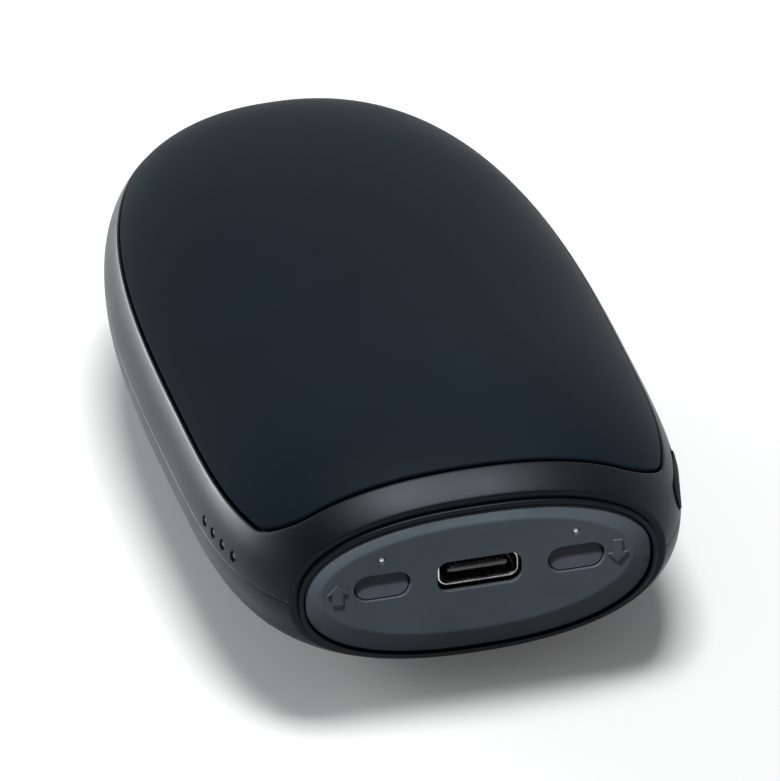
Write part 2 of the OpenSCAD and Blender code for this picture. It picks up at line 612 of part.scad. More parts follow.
shelf_y0 = cell_back_y + cell_clear + tray_wall;
pcm_z = 0.4;
module cell_tray() color(shell_colour) placed() {
    difference() {
        slab(-tray_half, tray_half, cell_front_y - cell_clear - tray_wall, shelf_y0, -tray_h / 2, tray_h / 2);
        slab(-tray_half + tray_wall, tray_half - tray_wall, cell_front_y - cell_clear,
            cell_back_y + cell_clear, -tray_h, tray_h);
    }
    slab(-12, 12, shelf_y0 - 0.2, shelf_y0 + 6, pcm_z - 1.2, pcm_z);
    difference() {
        for (s = [-1, 1]) {
            slab(s * tray_half - 1.4, s * tray_half + 1.4, boss_ys[0] - 1.5, boss_ys[0] + 1.5, -ear_t, 0);
            post(s * boss_x(boss_ys[0]), boss_ys[0], -ear_t, 0, boss_d);
            slab(s * (boss_x(boss_ys[1]) - 1) - 1.2, s * (boss_x(boss_ys[1]) - 1) + 1.2,
                shelf_y0 - 0.6, boss_ys[1], -ear_t, 0);
            post(s * boss_x(boss_ys[1]), boss_ys[1], -ear_t, 0, boss_d);
        }
        at_bosses() translate([0, 0, -3]) cylinder(h = 6, d = screw_d + 0.3);
    }
}

// Protection board behind the cells, with its chips and the tabs of the cells
module protection_board() color(board_colour) placed()
    slab(-11.5, 11.5, shelf_y0 + 0.4, shelf_y0 + 5.8, pcm_z, pcm_z + 0.8);
module protection_chips() color(chip_colour) placed() for (x = [-2.6, 1.8])
    slab(x, x + 3, shelf_y0 + 2, shelf_y0 + 5, pcm_z + 0.8, pcm_z + 1.7);
module cell_tabs() color(steel_colour) placed() {
    for (x = [-7.5, 7.5]) {
        slab(x - 1.5, x + 1.5, cell_back_y, shelf_y0 + 1, tray_h / 2, tray_h / 2 + 0.15);
        slab(x - 1.5, x + 1.5, shelf_y0 + 0.85, shelf_y0 + 1, pcm_z + 0.8, tray_h / 2 + 0.1);
    }
    for (x = [-7.5, 7.5]) {
        slab(x - 1.5, x + 1.5, cell_back_y, shelf_y0 + 6.3, -tray_h / 2 - 0.15, -tray_h / 2);
        slab(x - 1.5, x + 1.5, shelf_y0 + 6.15, shelf_y0 + 6.3, -tray_h / 2 - 0.1, pcm_z + 0.95);
        slab(x - 1.5, x + 1.5, shelf_y0 + 4.6, shelf_y0 + 6.3, pcm_z + 0.8, pcm_z + 0.95);
    }
}

// Leads from the protection board along the top of the tray to the main board
lead_r = 0.6;
lead_x = tray_half - lead_r - 0.05;
function lead_path(s) = let (low = pcm_z + 0.8 + lead_r, top = tray_h / 2 + lead_r)
    let (y1 = shelf_y0 - 0.65, y2 = board_back_y + 0.7)
    [[s * 10.2, shelf_y0 + 3, low], [s * 10.2, shelf_y0 + 1.2, low], [s * 10.2, shelf_y0 + 1.2, top],
     [s * 10.2, y1, top], [s * lead_x, y1, top], [s * lead_x, y2, top],
     [s * lead_x, y2, board_top + lead_r], [s * lead_x, board_back_y - 3, board_top + lead_r]];
module red_battery_lead() color([0.75, 0.1, 0.1]) placed() wire(lead_path(1), lead_r, 0.8);
module black_battery_lead() color([0.1, 0.1, 0.1]) placed() wire(lead_path(-1), lead_r, 0.8);

// Heater film on the inside of a cover, and the foam that presses it there
film_clear = 0.14;
film_loops = [for (s = [0.12, 0.42, 0.68]) toward(cover_in, s)];
module heater() {
    stack(concat([for (l = film_loops) lifted(l, cover_wall, film_clear)],
        [for (i = [2:-1:0]) lifted(film_loops[i], cover_wall, film_clear + film_t * 1.2)]));
}
module foam_pad() {
    intersection() {
        stack(concat([for (l = film_loops) lifted(l, cover_wall, film_clear + 0.1 + film_t * 1.2)],
            [lifted(film_loops[2], cover_wall, form_c / 2)]));
        slab(-cell_half, cell_half, cell_front_y + 0.5, cell_back_y - 0.5, stack_half, form_c);
    }
}
sensor_y = (cell_front_y + cell_back_y) / 2;
sensor_z = section_z(0, sensor_y, cover_wall) - film_clear - film_t * 1.2 - 1.15;
module pad_with_hole() difference() {
    foam_pad();
    post(0, sensor_y, stack_half - 1, form_c, 3);
}
module upper_heater() color(film_colour) placed() heater();
module lower_heater() color(film_colour) placed() flipped() heater();
module upper_foam_pad() color(foam_colour) placed() pad_with_hole();
module lower_foam_pad() color(foam_colour) placed() flipped() pad_with_hole();
module heat_sensors() color([0.1, 0.1, 0.1]) placed() for (s = [-1, 1])
    translate([0, sensor_y, s * sensor_z]) sphere(0.95);
module heater_leads() color([0.9, 0.9, 0.9]) placed() for (x = [-9.1, -7.6]) for (s = [-1, 1]) {
    y0 = board_back_y - 4;
    z0 = s * (section_z(x, y0, cover_wall) - film_clear - film_t * 1.2 - 0.2);
    z1 = s > 0 ? board_top : board_bottom;
    post(x, y0, min(z0, z1), max(z0, z1), 0.9);
    slab(x - 0.6, x + 0.6, y0 - 2.4, y0 + 0.6, min(z1, z1 + s * 0.5), max(z1, z1 + s * 0.5));
    slab(x - 0.6, x + 0.6, y0 - 0.6, y0 + 2.4, min(z0, z0 - s * 0.4), max(z0, z0 - s * 0.4));
}

// Screws: four from below through the shells, two that hold the main board
module shell_screws() color(steel_colour) placed() at_bosses() {
    translate([0, 0, seat_z]) cylinder(h = screw_l, d = screw_d);
    difference() {
        translate([0, 0, seat_z - 1.4]) cylinder(h = 1.4, d = 3.5);
        translate([0, 0, seat_z - 2]) cylinder(h = 1.2, d = 1.5, $fn = 6);
    }
}
module board_screws() color(steel_colour) placed() for (s = [-1, 1])
    translate([s * 12, board_back_y - 2.8, board_top]) {
        translate([0, 0, -board_t - 2.4]) cylinder(h = board_t + 2.4, d = 1.6);
        difference() {
            cylinder(h = 1.1, d = 3.2);
            translate([0, 0, 0.5]) cylinder(h = 1, d = 1.3, $fn = 6);
        }
    }

top_cover();
bottom_cover();
upper_shell();
lower_shell();
end_panel();
key_up();
key_down();
power_button();
up_plunger();
down_plunger();
power_plunger();
port_shell();
port_tongue();
port_contacts();
panel_light_pipes();
charge_light_guide();
main_board();
key_switches();
power_switch();
light_chips();
control_chips();
boost_inductor();
capacitors();
upper_cell();
lower_cell();
cell_tape();
cell_tray();
protection_board();
protection_chips();
cell_tabs();
red_battery_lead();
black_battery_lead();
upper_heater();
lower_heater();
upper_foam_pad();
lower_foam_pad();
heat_sensors();
heater_leads();
shell_screws();
board_screws();
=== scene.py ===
import math

import bpy
import numpy as np
from mathutils import Matrix, Vector
from mathutils.kdtree import KDTree


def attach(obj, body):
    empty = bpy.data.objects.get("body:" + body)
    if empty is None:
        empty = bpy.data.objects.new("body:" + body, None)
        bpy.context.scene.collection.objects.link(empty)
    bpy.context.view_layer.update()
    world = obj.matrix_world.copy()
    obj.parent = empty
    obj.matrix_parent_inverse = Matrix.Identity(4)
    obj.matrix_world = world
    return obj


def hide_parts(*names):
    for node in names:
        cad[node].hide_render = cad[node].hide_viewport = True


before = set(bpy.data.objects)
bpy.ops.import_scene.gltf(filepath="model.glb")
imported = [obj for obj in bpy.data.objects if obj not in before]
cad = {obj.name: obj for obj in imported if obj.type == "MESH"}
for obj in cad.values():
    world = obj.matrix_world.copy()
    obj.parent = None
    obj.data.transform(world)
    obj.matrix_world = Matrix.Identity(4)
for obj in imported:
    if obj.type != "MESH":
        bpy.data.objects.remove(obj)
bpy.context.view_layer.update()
mm = 0.001

# ---- The photographer's stand: a long lens three metres off, low over the table and a little to the
# left of the port end, so that the tail is hardly smaller than the nose
looking_at = Vector((-0.503, -10.82, 16.04)) * mm
camera_azimuth, camera_elevation, camera_tilt = -13.586, 30.957, -1.565
camera_distance = 3.0
turn, rise = math.radians(camera_azimuth), math.radians(camera_elevation)
backwards = Vector((math.sin(turn) * math.cos(rise), -math.cos(turn) * math.cos(rise), math.sin(rise)))
lens = bpy.data.cameras.new("long_lens")
lens.sensor_fit = "HORIZONTAL"
lens.sensor_width = 36
lens.lens = 1285
lens.clip_start, lens.clip_end = 0.5, 20
camera = bpy.data.objects.new("long_lens", lens)
camera.location = looking_at + backwards * camera_distance
level = backwards.to_track_quat("Z", "Y").to_matrix()
camera.rotation_euler = (level @ Matrix.Rotation(math.radians(camera_tilt), 3, "Z")).to_euler()
bpy.context.scene.collection.objects.link(camera)
bpy.context.scene.camera = camera
bpy.context.scene.view_settings.view_transform = "Standard"

# The table: a large sheet of matt white paper, a hair under the warmer. It keeps the warmer's shadow,
# and further off it fades into the white behind it.
paper_size, paper_drop = 6, 0.02 * mm
bpy.ops.object.select_all(action="DESELECT")
bpy.ops.mesh.primitive_plane_add(size=paper_size, location=(0, 0, -paper_drop))
table = bpy.context.object
table.name = "paper_table"


def in_sight(nodes, links):
    """1 for a ray that sees a thing, straight, in a gloss or through glass, and 0 for one that lights"""
    ray = nodes.new("ShaderNodeLightPath")
    sight = ray.outputs["Is Camera Ray"]
    for other in ("Is Glossy Ray", "Is Transmission Ray"):
        added = nodes.new("ShaderNodeMath")
        added.operation = "ADD"
        added.use_clamp = True
        links.new(sight, added.inputs[0])
        links.new(ray.outputs[other], added.inputs[1])
        sight = added.outputs["Value"]
    return sight


def stretched(nodes, first, last, at_first=0.0, at_last=1.0):
    """A node that stretches the values between first and last over another span"""
    span = nodes.new("ShaderNodeMapRange")
    for socket, value in (("From Min", first), ("From Max", last), ("To Min", at_first), ("To Max", at_last)):
        span.inputs[socket].default_value = value
    return span


paper = bpy.data.materials.new("white_paper")
paper.use_nodes = True
paper_nodes, paper_links = paper.node_tree.nodes, paper.node_tree.links
paper_tone, full_white = (0.88, 0.88, 0.88, 1), (1, 1, 1, 1)
fade_from, fade_to, least_fade = 0.08, 0.2, 0.07
paper_face = paper_nodes["Principled BSDF"]
paper_face.inputs["Base Color"].default_value = paper_tone
paper_face.inputs["Roughness"].default_value = 0.9
paper_face.inputs["Specular IOR Level"].default_value = 0.1
paper_glow = paper_nodes.new("ShaderNodeEmission")
paper_glow.inputs["Color"].default_value = full_white
paper_glow.inputs["Strength"].default_value = 1
paper_at = paper_nodes.new("ShaderNodeTexCoord")
how_far = paper_nodes.new("ShaderNodeVectorMath")
how_far.operation = "LENGTH"
fade = stretched(paper_nodes, fade_from, fade_to, least_fade, 1)
fade.interpolation_type = "SMOOTHSTEP"
share = paper_nodes.new("ShaderNodeMath")
share.operation = "MULTIPLY"
paper_mix = paper_nodes.new("ShaderNodeMixShader")
paper_links.new(paper_at.outputs["Object"], how_far.inputs[0])
paper_links.new(how_far.outputs["Value"], fade.inputs["Value"])
paper_links.new(in_sight(paper_nodes, paper_links), share.inputs[0])
paper_links.new(fade.outputs["Result"], share.inputs[1])
paper_links.new(share.outputs["Value"], paper_mix.inputs["Fac"])
paper_links.new(paper_face.outputs["BSDF"], paper_mix.inputs[1])
paper_links.new(paper_glow.outputs["Emission"], paper_mix.inputs[2])
paper_links.new(paper_mix.outputs["Shader"], paper_nodes["Material Output"].inputs["Surface"])
table.data.materials.append(paper)

# The room: dim pale walls all round. The camera, glosses and glass see them white, up to a ceiling that
# darkens from the top of the walls on.
room = bpy.data.worlds.new("white_room")
bpy.context.scene.world = room
room.use_nodes = True
room_nodes, room_links = room.node_tree.nodes, room.node_tree.links
room_nodes.clear()
wall_top, ceiling_from, ceiling_tone = 0.35, 0.8, 0.12
walls = room_nodes.new("ShaderNodeBackground")
walls.inputs["Color"].default_value = (0.97, 0.99, 1, 1)
walls.inputs["Strength"].default_value = 0.2
seen_white = room_nodes.new("ShaderNodeBackground")
seen_white.inputs["Color"].default_value = full_white
toward = room_nodes.new("ShaderNodeTexCoord")
heights = room_nodes.new("ShaderNodeSeparateXYZ")
ceiling = stretched(room_nodes, wall_top, ceiling_from, 1, ceiling_tone)
room_mix = room_nodes.new("ShaderNodeMixShader")
room_out = room_nodes.new("ShaderNodeOutputWorld")
room_links.new(toward.outputs["Generated"], heights.inputs["Vector"])
room_links.new(heights.outputs["Z"], ceiling.inputs["Value"])
room_links.new(ceiling.outputs["Result"], seen_white.inputs["Strength"])
room_links.new(in_sight(room_nodes, room_links), room_mix.inputs["Fac"])
room_links.new(walls.outputs["Background"], room_mix.inputs[1])
room_links.new(seen_white.outputs["Background"], room_mix.inputs[2])
room_links.new(room_mix.outputs["Shader"], room_out.inputs["Surface"])


def soft_box(name, place, aimed_at, wide, tall, watts, tint):
    """A studio soft box: a lit rectangle at a place in metres, turned to a point"""
    box = bpy.data.lights.new(name, "AREA")
    box.shape = "RECTANGLE"
    box.size, box.size_y = wide, tall
    box.energy = watts
    box.color = tint
    stand = bpy.data.objects.new(name, box)
    stand.location = place
    stand.rotation_euler = (Vector(place) - Vector(aimed_at)).to_track_quat("Z", "Y").to_euler()
    bpy.context.scene.collection.objects.link(stand)
    return stand


soft_box("high_box", (0.07, 0.17, 1.05), aimed_at=(0, 0, 0.01), wide=0.45, tall=0.35, watts=11.2,
         tint=(1, 1, 1))
left_box = soft_box("left_box", (-0.75, 1.0, 0.18), aimed_at=(0, 0, 0.012), wide=0.7, tall=0.36, watts=19,
                    tint=(0.95, 1, 1))
front_box = soft_box("front_box", (-0.35, -0.36, 1.1), aimed_at=(0, -0.045, 0.013), wide=0.14, tall=0.14,
                     watts=48, tint=(0.98, 0.99, 1))
glint_box = soft_box("glint_box", (-0.8, -0.62, 0.16), aimed_at=(0, -0.03, 0.013), wide=0.3, tall=0.2, watts=8,
                     tint=(1, 1, 1))

# ---- Lower shell: satin black ABS, injection moulded, the half that carries the board and the bosses.
# The pebble has no flat or straight line, so its skin is a fine sheet laid on the form.
body_wide, body_thick, seam_up = 52.48, 27.28, 13.35
widest_y, nose_run, tail_run = -12.6, 39.0, 60.1
plan_powers, side_powers, section_power = (3.7, 2.8), (2.95, 3.15), 2.25
nose_end, lip_front, bore_end = -46.3, -46.8, -43.2
gap_line, gap_front = 5.4, -42.4
shell_wall, cover_wall, cover_gap = 2.0, 1.4, 0.35
next_to_nothing = 1e-9


def fading(run, reach, power):
    """1 at the start of a run and 0 at its reach, along a superellipse"""
    return np.maximum(0, 1 - np.minimum(1, np.abs(run) / reach) ** power) ** (1 / power)


def half_at(y, whole, powers, inset):
    """Half of the pebble's width or height at a station along Y, by its power to the nose and to the tail"""
    front = np.asarray(y) < widest_y
    reach = np.where(front, nose_run, tail_run) - inset
    return (whole / 2 - inset) * fading(y - widest_y, reach, np.where(front, *powers))


def plan_half(y, inset=0.0):
    return half_at(y, body_wide, plan_powers, inset)


def side_half(y, inset=0.0):
    return half_at(y, body_thick, side_powers, inset)


def flank_x(y, z, inset=0.0):
    """How far out the flank stands, at a station and a height from the seam"""
    return plan_half(y, inset) * fading(z, np.maximum(side_half(y, inset), next_to_nothing), section_power)


def crown_z(x, y, inset=0.0):
    """How high the crown stands over the seam, at a place in plan"""
    return side_half(y, inset) * fading(x, np.maximum(plan_half(y, inset), next_to_nothing), section_power)


def tail_at(z, inset=0.0):
    """Where the tail ends, at a height from the seam"""
    return widest_y + (tail_run - inset) * fading(z, body_thick / 2 - inset, side_powers[1])


def on_form(p):
    """1 for a point on the pebble's skin, less inside it"""
    return ((np.abs(p[..., 0]) / plan_half(p[..., 1])) ** section_power
            + (np.abs(p[..., 2]) / side_half(p[..., 1])) ** section_power)


def slope_at(p):
    nudge = 1e-3
    return np.stack([on_form(p + e) - on_form(p - e) for e in np.eye(3) * nudge], -1) / (2 * nudge)


def unit(way):
    return way / np.linalg.norm(way, axis=-1, keepdims=True)


def outward(p):
    """The way straight out of the skin at each point"""
    return unit(slope_at(p))


def onto_skin(p):
    """Points near the skin, moved onto it"""
    for _ in range(4):
        slope = slope_at(p)
        p = p - ((on_form(p) - 1) / (slope**2).sum(-1))[..., None] * slope
    return p


def run_along(line):
    """How far along a line each of its points is"""
    return np.concatenate([[0], np.cumsum(np.linalg.norm(np.diff(line, axis=0), axis=1))])


def across(line, out):
    """The way over the skin from a half loop towards the middle of the cover"""
    along = np.gradient(line, run_along(line), axis=0)
    along[0], along[-1] = (1, 0, 0), (-1, 0, 0)
    return unit(np.cross(out, along))


def turned_edge(centre, first, last, radius, parts=4):
    """Rows of a rounded edge, turned about its centre line from one way to another"""
    rows = []
    for a in np.linspace(0, 1, parts + 1):
        way = first * math.cos(a * math.pi / 2) + last * math.sin(a * math.pi / 2)
        rows.append(centre + radius * unit(way))
    return rows


def stepped(line, steps):
    """So many even steps along a line of points"""
    run = run_along(line)
    at = np.linspace(0, run[-1], steps + 1)
    return np.stack([np.interp(at, run, line[:, k]) for k in range(line.shape[1])], 1)


nose_steps, corner_steps, flank_steps, bend_points = 60, 24, 150, 80
corner_reach, corner_pull, short_run = 1.1, 0.62, 0.2


def plan_loop(front, z, inset, ease):
    """Right half of a loop round a cover, in plan: straight front, eased corner, flank, tail"""
    corner = float(flank_x(front, z, inset))
    side_y = front + ease
    side = np.array([float(flank_x(side_y, z, inset)), side_y])
    start = np.array([corner - ease * corner_reach, front])
    ahead = np.array([float(flank_x(side_y - short_run, z, inset)), side_y - short_run]) - side
    pull = corner_pull * ease
    hands = [start, start + [pull, 0], side + ahead / np.linalg.norm(ahead) * pull, side]
    t = np.linspace(0, 1, bend_points)[:, None]
    bend = ((1 - t) ** 3 * hands[0] + 3 * t * (1 - t) ** 2 * hands[1]
            + 3 * t**2 * (1 - t) * hands[2] + t**3 * hands[3])
    straight = np.stack([np.linspace(0, start[0], nose_steps + 1), np.full(nose_steps + 1, front)], 1)
    turned = np.sin(np.linspace(0, math.pi / 2, flank_steps + 1))
    back = side_y + (tail_at(z, inset) - side_y) * turned
    flank = np.stack([flank_x(back, z, inset), back], 1)
    flank[-1, 0] = 0
    return np.concatenate([straight[:-1], stepped(bend, corner_steps)[:-1], flank])


def both_sides(rows):
    """The right half of each row, and its left half mirrored, as one row from nose to tail to nose"""
    left = rows[:, -2:0:-1] * [-1, 1, 1]
    return np.concatenate([rows, left, rows[:, :1]], 1)


def laid_sheet(name, rows):
    """A grid sheet whose points are laid in rows, in millimetres from the seam"""
    bpy.ops.object.select_all(action="DESELECT")
    bpy.ops.mesh.primitive_grid_add(x_subdivisions=rows.shape[1] - 1, y_subdivisions=rows.shape[0] - 1)
    sheet = bpy.context.object
    sheet.name = name
    places = (rows + [0, 0, seam_up]) * mm
    sheet.data.vertices.foreach_set("co", places.astype(np.float32).ravel())
    sheet.data.update()
    return sheet


def pick_only(*pieces):
    """Picks these pieces and no others, and makes the first one active"""
    bpy.ops.object.select_all(action="DESELECT")
    for piece in pieces:
        piece.select_set(True)
    bpy.context.view_layer.objects.active = pieces[0]


def edit(piece, by_points=False, whole=True):
    """Opens a piece's mesh by its edges or its points, with all of it picked or what was picked before"""
    pick_only(piece)
    bpy.context.tool_settings.mesh_select_mode = (by_points, not by_points, False)
    bpy.ops.object.mode_set(mode="EDIT")
    if whole:
        bpy.ops.mesh.select_all(action="SELECT")


def done():
    bpy.ops.object.mode_set(mode="OBJECT")


def welded(name, sheets):
    """Sheets joined to one piece, with their shared edges merged"""
    pick_only(*sheets)
    if len(sheets) > 1:
        bpy.ops.object.join()
    piece = bpy.context.view_layer.objects.active
    piece.name = name
    edit(piece, by_points=True)
    bpy.ops.mesh.remove_doubles(threshold=2e-6)
    bpy.ops.mesh.dissolve_degenerate(threshold=1e-7)
    done()
    return piece


def outwards(piece):
    """Turns every face of a closed piece outwards"""
    edit(piece)
    bpy.ops.mesh.normals_make_consistent(inside=False)
    done()


def turn_over(piece):
    """Turns a piece over at the seam, as the other half of the warmer is"""
    edit(piece)
    bpy.ops.transform.mirror(constraint_axis=(False, False, True), center_override=(0, 0, seam_up * mm))
    done()
    outwards(piece)


def smooth(piece, degrees=40):
    """Shades a piece smooth, but for the edges that turn more than this"""
    pick_only(piece)
    bpy.ops.object.shade_smooth_by_angle(angle=math.radians(degrees))


def lip_oval(y, side, top, power, angles):
    """Points of the lip's oval at a station along Y"""
    c, s = np.cos(angles), np.sin(angles)
    return np.stack([side * np.abs(c) ** (2 / power), np.full_like(c, y),
                     top * np.sign(s) * np.abs(s) ** (2 / power)], 1)


bore_side, bore_up, bore_down, lip_power = 19.27, 8.28, 8.72, 2.33
lip_wide, lip_high, corner_ease = 0.5, 0.48, 3.6
crease_deep, nose_round, gap_round = 0.09, 0.4, 0.24
seam_round, seam_fade, skin_rows, oval_points = 0.12, 1.5, 20, 400
lip_edge = ((0.22, 0), (0.11, 0.03), (0.03, 0.11), (0, 0.22))
bore_edge = ((0, 0.12), (0.035, 0.035), (0.12, 0))
ledge_deep, ledge_wide = cover_wall + 0.15, 1.5
inner_front, inner_up, inner_ease = gap_front + 1.2, 4.0, 2.0
seam_corner = nose_steps + corner_steps // 2
gap_plan = plan_loop(gap_front, gap_line, 0, corner_ease)
gap_edge = np.stack([gap_plan[:, 0], gap_plan[:, 1], crown_z(gap_plan[:, 0], gap_plan[:, 1])], 1)
gap_inwards = across(gap_edge, outward(gap_edge))


def shell_half(name, bore_top):
    """One half of the hard shell: a ring with the nose in front, open under the cover"""
    lip_side, lip_top = bore_side + lip_wide, bore_top + lip_high
    edge = onto_skin(gap_edge - gap_inwards * gap_round)
    edge[0, 0] = edge[-1, 0] = 0
    out = outward(edge)
    inwards = across(edge, out)

    # the nose edge, where the skin turns down to the crease round the lip
    quarter = np.linspace(math.pi / 2, 0, oval_points)
    section = np.stack([float(plan_half(nose_end)) * np.cos(quarter) ** (2 / section_power),
                        np.full_like(quarter, nose_end),
                        float(side_half(nose_end)) * np.sin(quarter) ** (2 / section_power)], 1)
    arc = stepped(section, seam_corner)
    for _ in range(6):
        arc[:, 1] = nose_end + nose_round * (1 + outward(arc)[:, 1])
        arc[:, [0, 2]] /= on_form(arc)[:, None] ** (1 / section_power)
    arc[0, 0] = arc[-1, 2] = 0
    nose_out = outward(arc)

    # the skin, in rows from the nose edge and the seam up to the gap line
    side_y = gap_front + corner_ease
    many = nose_steps + corner_steps + 1
    forward = np.linspace(arc[-1, 1], side_y, many - seam_corner)
    turned = np.sin(np.linspace(0, math.pi / 2, flank_steps + 1))[1:]
    past_nose = np.concatenate([forward, side_y + turned]) - arc[-1, 1]
    eased = seam_round * np.clip(past_nose / seam_fade, 0, 1)
    near_seam, along_seam = eased[: len(forward)], eased[len(forward):]
    rows = []
    for s in np.linspace(0, 1, skin_rows + 1):
        low = np.concatenate([arc[:-1], np.stack([flank_x(forward, near_seam), forward, near_seam], 1)])
        row = low * (1 - s) + edge[:many] * s
        row[:, [0, 2]] /= on_form(row)[:, None] ** (1 / section_power)
        z = along_seam * (1 - s) + edge[many:, 2] * s
        y = side_y + (tail_at(z) - side_y) * turned
        y += (edge[many:, 1] - side_y - (tail_at(edge[many:, 2]) - side_y) * turned) * s
        x = flank_x(y, z)
        x[-1] = 0
        rows.append(np.concatenate([row, np.stack([x, y, z], 1)]))
    rows[-1] = edge
    skin = laid_sheet(name, both_sides(np.array(rows)))

    # the gap's wall, the ledge that the cover is pressed on, and the wall behind it down to the seam
    rows = turned_edge(edge - gap_round * out, out, inwards, gap_round)
    rows.append(edge + gap_round * inwards - ledge_deep * out)
    ledge = onto_skin(edge + ledge_wide * inwards)
    ledge[0, 0] = ledge[-1, 0] = 0
    rows.append(ledge - ledge_deep * outward(ledge))
    rows.append(ledge - (ledge_deep + 1) * outward(ledge))
    low = plan_loop(inner_front, inner_up, shell_wall, inner_ease)
    rows.append(np.stack([low[:, 0], low[:, 1], np.full(len(low), inner_up)], 1))
    bore = stepped(lip_oval(bore_end, bore_side, bore_top, lip_power, quarter), seam_corner)
    behind = np.linspace(bore_end, side_y, many - seam_corner)
    widening = np.clip((behind - bore_end) / (side_y - bore_end), 0, 1) ** 0.5
    inner_x = bore_side + (flank_x(side_y, 0, shell_wall) - bore_side) * widening
    y = side_y + (tail_at(0, shell_wall) - side_y) * turned
    x = flank_x(y, 0, shell_wall)
    x[-1] = 0
    inner = np.stack([np.append(inner_x, x), np.append(behind, y)], 1)
    rows.append(np.concatenate([bore[:-1], np.pad(inner, ((0, 0), (0, 1)))]))
    lining = laid_sheet(name + "_lining", both_sides(np.array(rows)))

    # the seam's eased edge, from behind the nose round the tail
    rows = []
    for a in np.linspace(0, math.pi / 2, 4):
        inset, z = eased * (1 - math.cos(a)), eased * (1 - math.sin(a))
        tail = tail_at(z[len(forward):], inset[len(forward):])
        y = np.concatenate([forward, side_y + (tail - side_y) * turned])
        x = flank_x(y, z, inset)
        x[-1] = 0
        row = np.stack([x, y, z], 1)
        rows.append(np.concatenate([row, row[-2::-1] * [-1, 1, 1]]))
    seam = laid_sheet(name + "_seam", np.array(rows))

    # the lip: a crease behind it, a narrow rounded front, and the bore that holds the panel
    rows = turned_edge(arc - nose_round * nose_out, nose_out, nose_out * 0 + [0, -1, 0], nose_round)
    rows[-1][:, 1] = nose_end
    ovals = [(nose_end + crease_deep, lip_side, lip_top)]
    ovals += [(lip_front + back, lip_side - drawn, lip_top - drawn) for back, drawn in lip_edge]
    ovals += [(lip_front + back, bore_side + grown, bore_top + grown) for back, grown in bore_edge]
    rows += [stepped(lip_oval(y, side, top, lip_power, quarter), seam_corner) for y, side, top in ovals]
    rows.append(bore)
    rows = np.array(rows)
    rows = np.concatenate([rows[:, ::-1], rows[:, 1:] * [-1, 1, 1]], 1)
    lip = laid_sheet(name + "_lip", rows)

    # the four sheets welded, and the seam's flat face filled between its two edges
    piece = welded(name, [skin, lining, seam, lip])
    edit(piece)
    bpy.ops.mesh.select_all(action="DESELECT")
    bpy.ops.mesh.select_non_manifold(extend=False, use_wire=False, use_boundary=True,
                                     use_multi_face=False, use_non_contiguous=False, use_verts=False)
    bpy.ops.mesh.edge_face_add()
    done()
    outwards(piece)
    return piece


lower_half = shell_half("lower_half_shell", bore_down)
turn_over(lower_half)
smooth(lower_half)

# Moulded plastic: a slow change of tone, a fine spark-eroded grain, and a gloss that wanders a little
moulded = bpy.data.node_groups.new("moulded_surface", "ShaderNodeTree")
for label in ("Deep tone", "High tone", "Cloud size", "Grain size", "Smoothest", "Roughest",
              "Colour", "Roughness", "Height"):
    kind = "NodeSocketColor" if label in ("Deep tone", "High tone", "Colour") else "NodeSocketFloat"
    way = "OUTPUT" if label in ("Colour", "Roughness", "Height") else "INPUT"
    moulded.interface.new_socket(label, in_out=way, socket_type=kind)
skin_nodes, skin_links = moulded.nodes, moulded.links
values_in, values_out = skin_nodes.new("NodeGroupInput"), skin_nodes.new("NodeGroupOutput")
on_piece = skin_nodes.new("ShaderNodeTexCoord")
clouds = skin_nodes.new("ShaderNodeTexNoise")
clouds.inputs["Detail"].default_value = 3
grain = skin_nodes.new("ShaderNodeTexNoise")
grain.inputs["Detail"].default_value = 2
tones = skin_nodes.new("ShaderNodeMix")
tones.data_type = "RGBA"
cloud_low, cloud_high = 0.3, 0.7
spread = stretched(skin_nodes, cloud_low, cloud_high)
gloss = stretched(skin_nodes, cloud_low, cloud_high)
for noise, size in ((clouds, "Cloud size"), (grain, "Grain size")):
    skin_links.new(on_piece.outputs["Object"], noise.inputs["Vector"])
    skin_links.new(values_in.outputs[size], noise.inputs["Scale"])
skin_links.new(clouds.outputs["Fac"], spread.inputs["Value"])
skin_links.new(spread.outputs["Result"], tones.inputs["Factor"])
skin_links.new(values_in.outputs["Deep tone"], tones.inputs["A"])
skin_links.new(values_in.outputs["High tone"], tones.inputs["B"])
skin_links.new(clouds.outputs["Fac"], gloss.inputs["Value"])
skin_links.new(values_in.outputs["Smoothest"], gloss.inputs["To Min"])
skin_links.new(values_in.outputs["Roughest"], gloss.inputs["To Max"])
skin_links.new(tones.outputs["Result"], values_out.inputs["Colour"])
skin_links.new(gloss.outputs["Result"], values_out.inputs["Roughness"])
skin_links.new(grain.outputs["Fac"], values_out.inputs["Height"])


def surface(name, deep, high, clouds_per_m, grains_per_m, smoothest, roughest, depth_mm, **fixed):
    """A material of the moulded surface, with its own tones, grain and gloss"""
    material = bpy.data.materials.new(name)
    material.use_nodes = True
    nodes, links = material.node_tree.nodes, material.node_tree.links
    face = nodes["Principled BSDF"]
    made = nodes.new("ShaderNodeGroup")
    made.node_tree = moulded
    for label, value in (("Deep tone", (*deep, 1)), ("High tone", (*high, 1)), ("Cloud size", clouds_per_m),
                         ("Grain size", grains_per_m), ("Smoothest", smoothest), ("Roughest", roughest)):
        made.inputs[label].default_value = value
    bump = nodes.new("ShaderNodeBump")
    bump.inputs["Strength"].default_value = 1
    bump.inputs["Distance"].default_value = depth_mm * mm
    links.new(made.outputs["Colour"], face.inputs["Base Color"])
    links.new(made.outputs["Roughness"], face.inputs["Roughness"])
    links.new(made.outputs["Height"], bump.inputs["Height"])
    links.new(bump.outputs["Normal"], face.inputs["Normal"])
    for socket, value in fixed.items():
        face.inputs[socket.replace("_", " ")].default_value = value
    return material


def finish(material, *pieces):
    """Gives pieces one material all over"""
    for piece in pieces:
        mesh = piece.data
        if not mesh.materials:
            mesh.materials.append(material)
        for i in range(len(mesh.materials)):
            mesh.materials[i] = material


